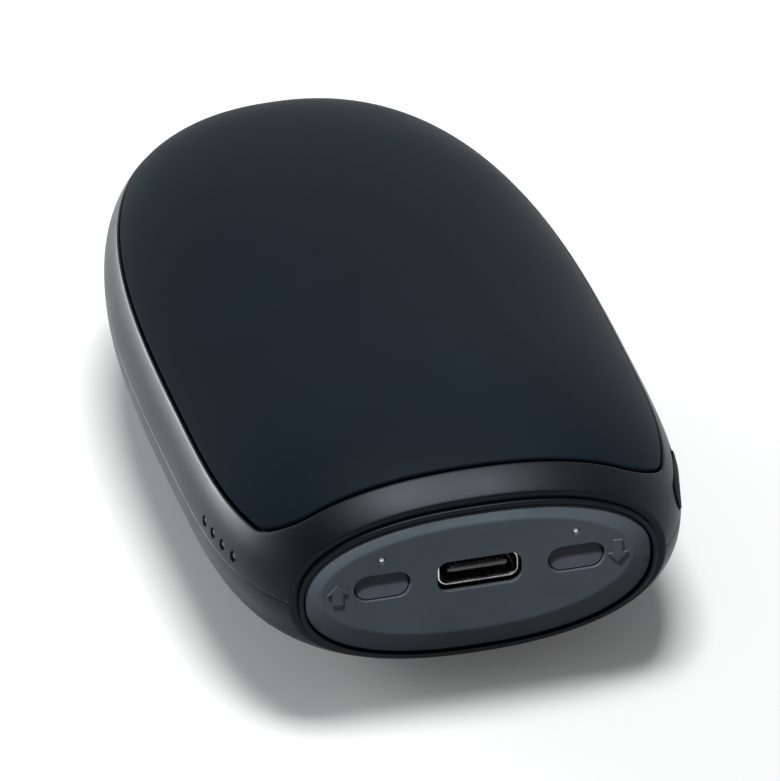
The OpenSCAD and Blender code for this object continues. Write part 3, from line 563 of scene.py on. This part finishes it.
shell_black = surface("satin_shell", (0.0012, 0.0028, 0.0045), (0.0024, 0.0042, 0.0065), 90, 5200, 0.37, 0.43,
                      0.003, Specular_IOR_Level=0.18, Specular_Tint=(0.8, 0.93, 1, 1))
finish(shell_black, lower_half)
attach(lower_half, "body")
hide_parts("lower_shell")

# ---- Main board: a green fibreglass board with etched copper tracks under its lacquer.
# Two screws hold it on the bulkhead, and it carries the port, the switches and the control parts.
board_green = surface("solder_mask", (0.004, 0.05, 0.026), (0.008, 0.085, 0.045), 400, 3000, 0.25, 0.35, 0.004)
board_nodes, board_links = board_green.node_tree.nodes, board_green.node_tree.links
tracks = board_nodes.new("ShaderNodeTexBrick")
tracks.inputs["Scale"].default_value = 520
tracks.inputs["Mortar Size"].default_value = 0.03
for part, tone in (("Color1", (0.008, 0.07, 0.036, 1)), ("Color2", (0.012, 0.1, 0.05, 1)),
                   ("Mortar", (0.03, 0.16, 0.06, 1))):
    tracks.inputs[part].default_value = tone
board_at = board_nodes.new("ShaderNodeTexCoord")
board_links.new(board_at.outputs["Object"], tracks.inputs["Vector"])
board_links.new(tracks.outputs["Color"], board_nodes["Principled BSDF"].inputs["Base Color"])
finish(board_green, cad["main_board"], cad["protection_board"])

# Control chips, coil and capacitors, soldered to the board: black epoxy, ferrite and ceramic
finish(surface("chip_epoxy", (0.012, 0.012, 0.013), (0.022, 0.022, 0.023), 800, 9000, 0.5, 0.65, 0.006),
       cad["control_chips"], cad["protection_chips"], cad["key_switches"], cad["power_switch"])
finish(surface("ferrite", (0.03, 0.03, 0.032), (0.055, 0.054, 0.055), 700, 6000, 0.6, 0.8, 0.012),
       cad["boost_inductor"])
finish(surface("capacitor_ceramic", (0.25, 0.17, 0.1), (0.36, 0.26, 0.17), 900, 7000, 0.4, 0.55, 0.006),
       cad["capacitors"])
finish(surface("led_resin", (0.62, 0.6, 0.42), (0.78, 0.76, 0.6), 900, 5000, 0.25, 0.35, 0.003),
       cad["light_chips"])

# ---- Charging port: a drawn steel shell with four legs through the board, a moulded tongue
# with a row of gilt contacts on each face, and a mouth whose edge is rolled and polished.
port_wide, port_tall, port_up, port_mouth, port_deep = 8.94, 3.16, 1.1, -46.55, 7.1


def round_box(wide, tall, corner, steps=10):
    """Outline of a box with round corners, counter-clockwise from the right-hand side"""
    points = []
    for quarter, (sx, sz) in enumerate(((1, 1), (-1, 1), (-1, -1), (1, -1))):
        for t in np.linspace(0, math.pi / 2, steps + 1) + quarter * math.pi / 2:
            points.append((sx * (wide / 2 - corner) + corner * math.cos(t),
                           sz * (tall / 2 - corner) + corner * math.sin(t)))
    return np.array(points)


def ring_at(outline, y, x=0.0, z=0.0):
    """An outline stood up at a station along Y, closed on its first point"""
    loop = np.concatenate([outline, outline[:1]])
    return np.stack([loop[:, 0] + x, np.full(len(loop), y), loop[:, 1] + z], 1)


def pick_line(piece, line, near=4e-6):
    """Picks the edges that lie along a line of points, in millimetres from the seam"""
    tree = KDTree(len(line))
    for i, point in enumerate(line):
        tree.insert((Vector(point) + Vector((0, 0, seam_up))) * mm, i)
    tree.balance()
    mesh = piece.data
    on = [tree.find(v.co)[2] < near for v in mesh.vertices]
    for v in mesh.vertices:
        v.select = on[v.index]
    for e in mesh.edges:
        e.select = on[e.vertices[0]] and on[e.vertices[1]]
    for f in mesh.polygons:
        f.select = False


def rounded_along(piece, line, radius, parts):
    """Rounds the edges along a line, as the tool's edge is rounded"""
    pick_line(piece, line)
    edit(piece, whole=False)
    bpy.ops.mesh.bevel(offset=radius * mm, offset_type="OFFSET", segments=parts, profile=0.5,
                       affect="EDGES", clamp_overlap=False)
    done()


def lofted(name, loops, ends=(0, -1)):
    """A closed piece: a skin over loops of points, with a face on each open end"""
    piece = welded(name, [laid_sheet(name + "_skin", np.array(loops))])
    for end in ends:
        pick_line(piece, loops[end])
        edit(piece, whole=False)
        bpy.ops.mesh.edge_face_add()
        bpy.ops.mesh.select_all(action="DESELECT")
        done()
    outwards(piece)
    return piece


def even_normals(piece, degrees=40):
    """Keeps flat faces flat beside their rounded edges"""
    smooth(piece, degrees)
    keeper = piece.modifiers.new("even_normals", "WEIGHTED_NORMAL")
    keeper.keep_sharp = True
    bpy.ops.object.modifier_apply(modifier=keeper.name)


tube_wall, mouth_wall, mouth_run, mouth_rim = 0.3, 0.17, 0.35, 0.12
tube_back = port_mouth + port_deep
tube = []
for wall, corner, y in ((0, 1.12, port_mouth), (0, 1.12, tube_back), (tube_wall, 0.86, tube_back),
                        (tube_wall, 0.86, port_mouth + mouth_run), (mouth_wall, 0.96, port_mouth)):
    tube.append(ring_at(round_box(port_wide - 2 * wall, port_tall - 2 * wall, corner), y, z=port_up))
tube.append(tube[0])
port_tube = lofted("port_tube", tube, ends=())
rounded_along(port_tube, tube[0], 0.06, 2)
# the faces inside the tube, past the polished rim, take a near-black finish: painted shade where the deep port
# lies in shadow, not a finish of the steel
for face in port_tube.data.polygons:
    inside = face.center / mm - Vector((0, port_mouth, seam_up + port_up))
    if inside.y > mouth_rim and face.normal.x * inside.x + face.normal.z * inside.z < 0:
        face.material_index = 1
leg_x, leg_ys, leg_drop, leg_size, leg_ease = 4.32, (-42.2, -40.15), 0.5, (0.3, 0.8, 3.1), 0.06
legs = []
for side in (-1, 1):
    for y in leg_ys:
        bpy.ops.object.select_all(action="DESELECT")
        place = (side * leg_x * mm, y * mm, (seam_up - leg_drop) * mm)
        bpy.ops.mesh.primitive_cube_add(size=mm, location=place, scale=leg_size)
        leg = bpy.context.object
        bpy.ops.object.transform_apply(location=True, rotation=True, scale=True)
        edit(leg)
        bpy.ops.mesh.bevel(offset=leg_ease * mm, segments=2, affect="EDGES", clamp_overlap=False)
        done()
        legs.append(leg)
pick_only(port_tube, *legs)
bpy.ops.object.join()
smooth(port_tube)
steel = surface("polished_steel", (0.62, 0.61, 0.59), (0.78, 0.77, 0.75), 600, 4000, 0.16, 0.26, 0.0015,
                Metallic=1.0)
# near-black steel for the inside of the tube: painted shade of the deep port
painted_shade_inside = surface("steel_painted_shade_inside", (0.002, 0.002, 0.003), (0.004, 0.004, 0.005), 600, 4000, 0.5, 0.6, 0.002)
port_tube.data.materials.append(steel)
port_tube.data.materials.append(painted_shade_inside)
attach(port_tube, "body")
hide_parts("port_shell")

# The tongue: glass-filled resin with a rounded tip, moulded in one with the block that closes the
# shell behind it
tongue_wide, tongue_thick, tongue_corner = 6.68, 0.7, 0.34
block_wide, block_tall, block_corner, block_front, block_back = 8.28, 2.5, 0.82, -41.2, -39.5
rings = []
for drawn, y in ((0.3, -46.3), (0.18, -46.27), (0.07, -46.17), (0.015, -46.05), (0, -45.9), (0, block_front)):
    outline = round_box(tongue_wide - 2 * drawn, tongue_thick - 2 * drawn, tongue_corner - drawn)
    rings.append(ring_at(outline, y, z=port_up))
for y in (block_front, block_back):
    rings.append(ring_at(round_box(block_wide, block_tall, block_corner), y, z=port_up))
tongue = lofted("port_tongue_plate", rings)
smooth(tongue, 50)
tongue_resin = surface("tongue_resin", (0.008, 0.01, 0.013), (0.014, 0.017, 0.021), 900, 5000, 0.1, 0.16, 0.002,
                       Specular_IOR_Level=0.8)
# The contacts' gilt is painted much darker than gold: painted shade for contacts deep inside the port
finish(surface("contact_gilt_painted_shade", (0.1, 0.085, 0.06), (0.16, 0.13, 0.09), 900, 5000, 0.35, 0.45, 0.002,
               Metallic=1.0), cad["port_contacts"])
finish(tongue_resin, tongue)
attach(tongue, "body")
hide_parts("port_tongue")

# ---- Switch plungers: black nylon stems that stand out of the switches, one behind each key.
# The spring dome in the switch pushes the stem and the key back.
finish(surface("black_nylon", (0.015, 0.015, 0.016), (0.024, 0.024, 0.026), 500, 4000, 0.4, 0.5, 0.004),
       cad["up_plunger"], cad["down_plunger"], cad["power_plunger"])

# ---- Cells: two flat pouch cells in crimped foil, held together by white tape, in a nylon tray
# whose ears the shells clamp. The protection board stands behind them.
finish(surface("pouch_foil", (0.5, 0.51, 0.53), (0.66, 0.67, 0.69), 260, 1500, 0.28, 0.42, 0.02, Metallic=0.9),
       cad["upper_cell"], cad["lower_cell"])
finish(surface("white_tape", (0.66, 0.65, 0.6), (0.78, 0.77, 0.72), 300, 4000, 0.6, 0.75, 0.006),
       cad["cell_tape"])
finish(surface("tray_nylon", (0.03, 0.033, 0.036), (0.045, 0.048, 0.052), 300, 3800, 0.5, 0.62, 0.006),
       cad["cell_tray"])
finish(surface("nickel_tab", (0.6, 0.59, 0.56), (0.74, 0.73, 0.7), 500, 5000, 0.25, 0.38, 0.003, Metallic=1.0),
       cad["cell_tabs"])

# Battery leads: tinned wires in soft silicone, soldered from the protection board to the main board
finish(surface("red_silicone", (0.35, 0.012, 0.01), (0.48, 0.025, 0.02), 400, 3000, 0.4, 0.5, 0.004),
       cad["red_battery_lead"])
finish(surface("black_silicone", (0.014, 0.014, 0.015), (0.024, 0.024, 0.025), 400, 3000, 0.4, 0.5, 0.004),
       cad["black_battery_lead"])

# ---- End panel: one moulding with a bevelled oval face, openings for two keys, two lights and
# the port, and a flange at the back that the two shells close on.
panel_gap, face_y, bevel_back = 0.2, -47.24, -46.42
bevel_side, bevel_top, face_power = 1.85, 1.78, 2.1
face_aside, face_raised = -0.35, 0.72
flange_out, flange_front, flange_back = 0.8, -44.8, -43.6
panel_wall, hollow_front = 1.5, -45.7
around = np.linspace(0, 2 * math.pi, 257)[:-1]


def panel_ring(y, drawn_side, drawn_top, power):
    """An oval in the bore at a station along Y, drawn in at the sides and at top and bottom"""
    tall = np.where(np.sin(around) >= 0, bore_up, bore_down) - panel_gap - drawn_top
    loop = lip_oval(y, bore_side - panel_gap - drawn_side, tall, power, around)
    loop[:, 0] *= np.sign(np.cos(around))
    return np.concatenate([loop, loop[:1]])


rings = [panel_ring(face_y, bevel_side, bevel_top, face_power) + [face_aside, 0, face_raised]]
for y, drawn in ((bevel_back, 0), (flange_front, 0), (flange_front, -flange_out), (flange_back, -flange_out),
                 (flange_back, panel_wall), (hollow_front, panel_wall)):
    rings.append(panel_ring(y, drawn, drawn, lip_power))
panel = lofted("bevelled_panel", rings)
for edge_ring, radius, parts in ((0, 0.2, 3), (1, 0.12, 2), (3, 0.1, 2)):
    rounded_along(panel, rings[edge_ring], radius, parts)


def pill(wide, tall, steps=16):
    """A box with half-round ends, kept just short of that so that no two of its points meet"""
    return round_box(wide, tall, tall / 2 - 1e-4, steps)


def cutter(name, outline, grown, x, z, behind=None):
    """A punch through the panel, flared at the face so that it leaves an eased edge"""
    reach, skim, flare, back = 0.3, 0.001, 0.1, -45
    return lofted(name, [ring_at(grown, face_y - reach, x, z), ring_at(grown, face_y - skim, x, z),
                         ring_at(outline, face_y + flare, x, z),
                         ring_at(outline if behind is None else behind, back, x, z)])


def cut_by(piece, punches):
    """Cuts a piece by each punch, and puts the punches away"""
    for punch in punches:
        cut = piece.modifiers.new(punch.name, "BOOLEAN")
        cut.operation = "DIFFERENCE"
        cut.solver = "EXACT"
        cut.object = punch
        pick_only(piece)
        bpy.ops.object.modifier_apply(modifier=cut.name)
        bpy.data.objects.remove(punch)


key_x, key_up, light_up, slot_low = 10.7, 0.95, 4.2, 0.17
key_slot, key_slot_flared = pill(6.25, 3.05), pill(6.41, 3.21)
light_bore, light_bore_flared = pill(0.74, 0.739), pill(0.84, 0.839)
port_slot, port_slot_flared = round_box(9.3, 3.7, 1.3), round_box(9.36, 3.76, 1.33)
port_slot_back = round_box(10.6, 5, 1.9)
punches = []
for side in (-1, 1):
    punches.append(cutter("key_punch", key_slot, key_slot_flared, side * key_x, key_up))
    punches.append(cutter("light_punch", light_bore, light_bore_flared, side * key_x, light_up))
punches.append(cutter("port_punch", port_slot, port_slot_flared, 0, port_up - slot_low, port_slot_back))
cut_by(panel, punches)
even_normals(panel, 25)
panel_black = surface("matt_panel", (0.023, 0.03, 0.035), (0.029, 0.037, 0.043), 120, 4200, 0.5, 0.6, 0.006,
                      Specular_IOR_Level=0.08)
finish(panel_black, panel)
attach(panel, "body")
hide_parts("end_panel")

# Raised signs of the two keys: one arrow up and one down, which stand out of the same moulding
sign_up = np.array([(0, 1.73), (-1.15, 0.62), (-0.6, 0.62), (-0.6, -0.73), (0.6, -0.73), (0.6, 0.62),
                    (1.15, 0.62)])
sign_down = np.array([(0, -0.65), (1.13, 0.5), (0.53, 0.5), (0.53, 2.07), (-0.53, 2.07), (-0.53, 0.5),
                      (-1.13, 0.5)])
sign_foot, sign_face = face_y + 0.06, -47.495
for name, outline, x in (("up_sign", sign_up + [0, 0.33], -15.7), ("down_sign", sign_down + [0, 0.4], 15.2)):
    loops = [ring_at(outline, sign_foot, x), ring_at(outline, sign_face, x)]
    sign = lofted(name, loops)
    rounded_along(sign, loops[1], 0.05, 2)
    even_normals(sign, 30)
    finish(panel_black, sign)
    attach(sign, "body")

# ---- Keys: pill caps, half a millimetre below the face, with a collar that keeps them behind the
# panel and a stem to the switch. Both are the same moulding.
cap_y, cap_lean, collar_front, collar_back, stem_end = -46.75, 0.24, -45.65, -44.85, -43.0
cap_outline, collar_outline, stem_outline = pill(6.0, 2.8), pill(7.45, 4.05), pill(1.6001, 1.6)
leaning = ring_at(cap_outline, cap_y)
leaning[:, 1] += leaning[:, 2] * cap_lean
loops = [leaning, ring_at(cap_outline, collar_front), ring_at(collar_outline, collar_front),
         ring_at(collar_outline, collar_back), ring_at(stem_outline, collar_back),
         ring_at(stem_outline, stem_end)]
key = lofted("up_key_cap", loops)
rounded_along(key, loops[0], 0.12, 3)
rounded_along(key, loops[3], 0.1, 2)
even_normals(key, 35)
cap_black = surface("matt_key", (0.025, 0.027, 0.034), (0.031, 0.033, 0.041), 200, 4200, 0.5, 0.6, 0.005,
                    Specular_IOR_Level=0.08)
finish(cap_black, key)


def twin(piece, name):
    """A second piece out of the same mould"""
    other = piece.copy()
    other.data = piece.data.copy()
    other.name = name
    bpy.context.scene.collection.objects.link(other)
    return other


other_key = twin(key, "down_key_cap")
for cap, side, body_name, node in ((key, -1, "up_key", "key_up"), (other_key, 1, "down_key", "key_down")):
    cap.data.transform(Matrix.Translation((side * key_x * mm, 0, key_up * mm)))
    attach(cap, body_name)
    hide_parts(node)

# ---- Lights of the panel: thin acrylic rods with a domed end, just below the face over each key,
# which run back over the switches and turn down to the light chips on the board.
rod_thick, neck_thick, dome_rise, dome_back = 0.45, 0.32, 0.14, 0.1
neck_end, rod_front, rod_bend, rod_end, bend_round = -45.6, -45.5, -37.2, 0.3, 1


def ring_about(at, first, second, radius, steps=20):
    """A ring of points about a place, closed on its first point"""
    turn = np.linspace(0, 2 * math.pi, steps + 1)[:, None]
    return at + radius * (np.cos(turn) * first + np.sin(turn) * second)


def domed_end(at, out, first, second, radius, rise, parts=5):
    """Rings from the tip of a dome to its rim"""
    return [ring_about(at - out * rise * (1 - math.cos(t)), first, second, radius * math.sin(t) + 1e-5)
            for t in np.linspace(0, math.pi / 2, parts + 1)]


east, north, high = np.eye(3)
rings = domed_end(np.array([0, face_y + dome_back, light_up]), -north, east, high, neck_thick, dome_rise)
for y, radius in ((neck_end, neck_thick), (rod_front, rod_thick - 0.01), (rod_bend - bend_round, rod_thick)):
    rings.append(ring_about(np.array([0, y, light_up]), east, high, radius))
for t in np.linspace(0, math.pi / 2, 7)[1:]:
    over = high * math.cos(t) + north * math.sin(t)
    middle = np.array([0, rod_bend - bend_round, light_up - bend_round])
    rings.append(ring_about(middle + bend_round * over, east, over, rod_thick))
rings.append(ring_about(np.array([0, rod_bend, rod_end]), east, north, rod_thick))
rod = lofted("left_light_rod", rings, ends=(-1,))
smooth(rod, 40)
frosted = surface("frosted_acrylic", (0.4, 0.44, 0.48), (0.6, 0.64, 0.68), 4000, 9000, 0.12, 0.2, 0.02,
                  Specular_IOR_Level=0.7)
finish(frosted, rod)
other_rod = twin(rod, "right_light_rod")
for piece, side in ((rod, -1), (other_rod, 1)):
    piece.data.transform(Matrix.Translation((side * key_x * mm, 0, 0)))
    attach(piece, "body")
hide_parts("panel_light_pipes")

# ---- Upper shell: the same moulding turned over, with the power button's opening on the right
# flank and four round light holes on the left one.
upper_half = shell_half("upper_half_shell", bore_up)
button_y, button_up = -36.7, 2.15


def flank_turn(y, up):
    """The flank's turn from straight ahead, at a station and a height from the seam"""
    return math.atan(float(flank_x(y + 0.5, up)) - float(flank_x(y - 0.5, up)))


lean = -flank_turn(button_y, button_up)
button_at = np.array([float(flank_x(button_y, button_up)), button_y, button_up])
out_way = np.array([math.cos(lean), math.sin(lean), 0])
along_way = np.array([-math.sin(lean), math.cos(lean), 0])


def on_button(outline, out):
    """An outline drawn on the flank round the button, so far out from the skin"""
    loop = np.concatenate([outline, outline[:1]])
    points = []
    for u, v in loop:
        d = 0.0
        for _ in range(6):
            p = button_at + along_way * u + out_way * d
            d += (float(flank_x(p[1], button_up + v)) - p[0]) / out_way[0]
        points.append(button_at + along_way * u + out_way * (d + out) + [0, 0, v])
    return np.array(points)


button_slot, button_slot_flared = pill(10.0, 3.1), pill(10.12, 3.22)
punches = [lofted("button_punch", [on_button(button_slot_flared, 0.6), on_button(button_slot_flared, 0.002),
                                   on_button(button_slot, -0.12), on_button(button_slot, -3.2)])]
light_ys, lens_up = (-37.4, -34.75, -32.1, -29.45), 1.5
light_mid = sum(light_ys) / 4
light_lean = flank_turn(light_mid, lens_up)
light_out = np.array([-math.cos(light_lean), -math.sin(light_lean), 0])
light_along = np.array([math.sin(light_lean), -math.cos(light_lean), 0])


def on_left_flank(y):
    """The middle of a charge light at a station along Y"""
    return np.array([-float(flank_x(y, lens_up)), y, lens_up])


circle = pill(1.3001, 1.3, 8)
for y in light_ys:
    loops = []
    for size, out in ((1.2, 0.8), (1.03, 0.02), (0.92, -0.08), (0.92, -3.5)):
        at = on_left_flank(y) + light_out * out
        loops.append(np.array([at + light_along * u + high * v for u, v in [*circle * size, circle[0] * size]]))
    punches.append(lofted("light_hole", loops))
cut_by(upper_half, punches)
smooth(upper_half)
finish(shell_black, upper_half)
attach(upper_half, "body")
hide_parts("upper_shell")

# ---- Charge lights: four domed pins of smoked acrylic, pushed through the left flank from inside,
# on one bar that spreads the light of the chips under it.
pin_thick, pin_long, pin_rise, pin_back = 0.52, 3.6, 0.34, 0.08
pins = []
for y in light_ys:
    at = on_left_flank(y) - pin_back * light_out
    rings = domed_end(at, light_out, light_along, high, pin_thick, pin_rise, 6)
    rings.append(ring_about(at - pin_long * light_out, light_along, high, pin_thick))
    pins.append(lofted("charge_lights", rings, ends=(-1,)))
rings = []
for out, long, thick in ((-3.1, 9.8, 1.64), (-3.18, 9.94, 1.8), (-4.32, 9.94, 1.8), (-4.4, 9.8, 1.64)):
    at = on_left_flank(light_mid) + light_out * out
    outline = round_box(long, thick, 0.3, 4)
    rings.append(np.array([at + light_along * u + high * v for u, v in [*outline, outline[0]]]))
light_bar = lofted("charge_lights", rings)
pick_only(light_bar, *pins)
bpy.ops.object.join()
outwards(light_bar)
smooth(light_bar, 40)
smoked = surface("smoked_acrylic", (0.004, 0.0045, 0.005), (0.007, 0.008, 0.009), 700, 5000, 0.05, 0.1, 0.001,
                 Specular_IOR_Level=0.7)
finish(smoked, light_bar)
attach(light_bar, "body")
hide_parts("charge_light_guide")

# ---- Power button: a long low cap of matt black ABS whose face follows the flank. It is pushed in
# from inside the upper shell, kept by a collar behind the wall, and its stem meets the side switch.
cap_pill, collar_pill, stem_pill = pill(9.7, 2.8), pill(11, 3.9), pill(3.0, 1.6)
button_proud, spine_half, face_rows = 0.16, 3.45, 8
collar_in, collar_foot, stem_foot = -2.2, -3.0, -4.35
rows = []
for s in np.sin(np.linspace(0, math.pi / 2, face_rows + 1)):
    spine = np.clip(cap_pill[:, 0], -spine_half, spine_half)
    flat = np.stack([spine + (cap_pill[:, 0] - spine) * s, cap_pill[:, 1] * s], 1)
    rows.append(on_button(flat, button_proud))
for outline, out in ((cap_pill, collar_in), (collar_pill, collar_in), (collar_pill, collar_foot),
                     (stem_pill, collar_foot), (stem_pill, stem_foot)):
    rows.append(on_button(outline, out))
button = lofted("button_cap", rows, ends=(-1,))
rounded_along(button, rows[face_rows], 0.25, 3)
smooth(button, 35)
button_black = surface("button_black", (0.002, 0.003, 0.004), (0.003, 0.0045, 0.006), 120, 5000, 0.5, 0.6,
                       0.003, Specular_IOR_Level=0.02)
finish(button_black, button)
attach(button, "power_key")
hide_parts("power_button")

# ---- Heaters: etched foil tracks between two amber films, pressed to the covers by foam pads,
# with a sensor bead in each pad and a flat lead down to the board.
amber = surface("heater_film", (0.42, 0.16, 0.03), (0.55, 0.24, 0.05), 200, 2500, 0.22, 0.32, 0.004)
film_nodes, film_links = amber.node_tree.nodes, amber.node_tree.links
meander = film_nodes.new("ShaderNodeTexWave")
meander.inputs["Scale"].default_value = 130
meander.inputs["Distortion"].default_value = 0.6
track_tone = film_nodes.new("ShaderNodeMix")
track_tone.data_type = "RGBA"
track_tone.inputs["A"].default_value = (0.5, 0.2, 0.04, 1)
track_tone.inputs["B"].default_value = (0.2, 0.1, 0.05, 1)
track_from, track_to = 0.45, 0.55
track_edge = stretched(film_nodes, track_from, track_to)
film_at = film_nodes.new("ShaderNodeTexCoord")
film_links.new(film_at.outputs["Object"], meander.inputs["Vector"])
film_links.new(meander.outputs["Fac"], track_edge.inputs["Value"])
film_links.new(track_edge.outputs["Result"], track_tone.inputs["Factor"])
film_links.new(track_tone.outputs["Result"], film_nodes["Principled BSDF"].inputs["Base Color"])
finish(surface("open_foam", (0.07, 0.07, 0.073), (0.12, 0.12, 0.124), 500, 1800, 0.85, 0.95, 0.12),
       cad["upper_foam_pad"], cad["lower_foam_pad"])
finish(surface("sensor_bead", (0.012, 0.012, 0.012), (0.02, 0.02, 0.02), 900, 4000, 0.25, 0.35, 0.003),
       cad["heat_sensors"])
finish(surface("white_lead", (0.62, 0.62, 0.6), (0.74, 0.74, 0.72), 500, 4000, 0.4, 0.5, 0.004),
       cad["heater_leads"])
finish(amber, cad["upper_heater"], cad["lower_heater"])

# ---- Screws: steel with a zinc plate, rolled threads and pressed heads, four from below through
# both shells and two in the board
finish(surface("zinc_plate", (0.55, 0.55, 0.54), (0.7, 0.7, 0.69), 700, 5000, 0.3, 0.42, 0.003, Metallic=1.0),
       cad["shell_screws"], cad["board_screws"])

# ---- Covers: thin hard dishes with a soft-touch coat, pressed over the spigots of the shells.
# The coat is matt and blue-black, and takes hardly any gloss from the room.
cover_round, crown_rows, lining_rows, settle = 0.32, 48, 14, 8
spine_front, spine_long = -22.4, 49.9


def cover_half(name):
    """One cover: a dish laid on the form inside the gap, with its lining and a rounded rim"""
    edge = onto_skin(gap_edge + gap_inwards * (cover_gap + cover_round))
    edge[0, 0] = edge[-1, 0] = 0
    out = outward(edge)
    inwards = across(edge, out)
    foot = edge - inwards * cover_round - out * cover_wall
    faces = []
    for loop, inset, parts in ((edge, 0.0, crown_rows), (foot, cover_wall, lining_rows)):
        corner_y = loop[: nose_steps + 1, 1].max()
        run = np.maximum(0, (loop[:, 1] - corner_y) / (loop[-1, 1] - corner_y))
        spine = np.stack([0 * run, spine_front + spine_long * run], 1)
        left_over = loop[:, 2] - crown_z(loop[:, 0], loop[:, 1], inset)
        face = []
        for s in np.sin(np.linspace(0, math.pi / 2, parts + 1)):
            flat = spine + (loop[:, :2] - spine) * s
            up = crown_z(flat[:, 0], flat[:, 1], inset) + left_over * s**settle
            face.append(np.stack([flat[:, 0], flat[:, 1], up], 1))
        faces.append(face)
    rim = turned_edge(edge - cover_round * out, out, -inwards, cover_round, 5)
    rows = faces[0][:-1] + rim + faces[1][::-1]
    piece = welded(name, [laid_sheet(name, both_sides(np.array(rows)))])
    outwards(piece)
    return piece


upper_cover = cover_half("upper_soft_cover")
lower_cover = cover_half("lower_soft_cover")
turn_over(lower_cover)
# the lower cover is dressed flat where the warmer rests on it
edit(lower_cover)
bpy.ops.mesh.bisect(plane_co=(0, 0, 0), plane_no=(0, 0, -1), use_fill=True, clear_outer=True, threshold=1e-7)
done()
soft_touch = surface("soft_touch_coat", (0.0055, 0.0115, 0.0165), (0.0075, 0.0145, 0.020), 60, 6500, 0.46, 0.54,
                     0.004, Specular_IOR_Level=0.035)
for cover, node in ((upper_cover, "top_cover"), (lower_cover, "bottom_cover")):
    smooth(cover, 35)
    finish(soft_touch, cover)
    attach(cover, "body")
    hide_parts(node)

# The lamps are flagged, as in the studio: the front box lights the panel, what is in it and the charge
# lights, the left box the hard shells and the table, and the glint box only the charge lights
signs = [bpy.data.objects["up_sign"], bpy.data.objects["down_sign"]]
in_panel = [key, other_key, port_tube, tongue, rod, other_rod, light_bar, cad["port_contacts"]]
for lamp, lit in ((front_box, [panel, *signs, *in_panel]), (left_box, [upper_half, lower_half, table]),
                  (glint_box, [light_bar])):
    in_its_light = bpy.data.collections.new("lit_by_" + lamp.name)
    for piece in lit:
        in_its_light.objects.link(piece)
    lamp.light_linking.receiver_collection = in_its_light
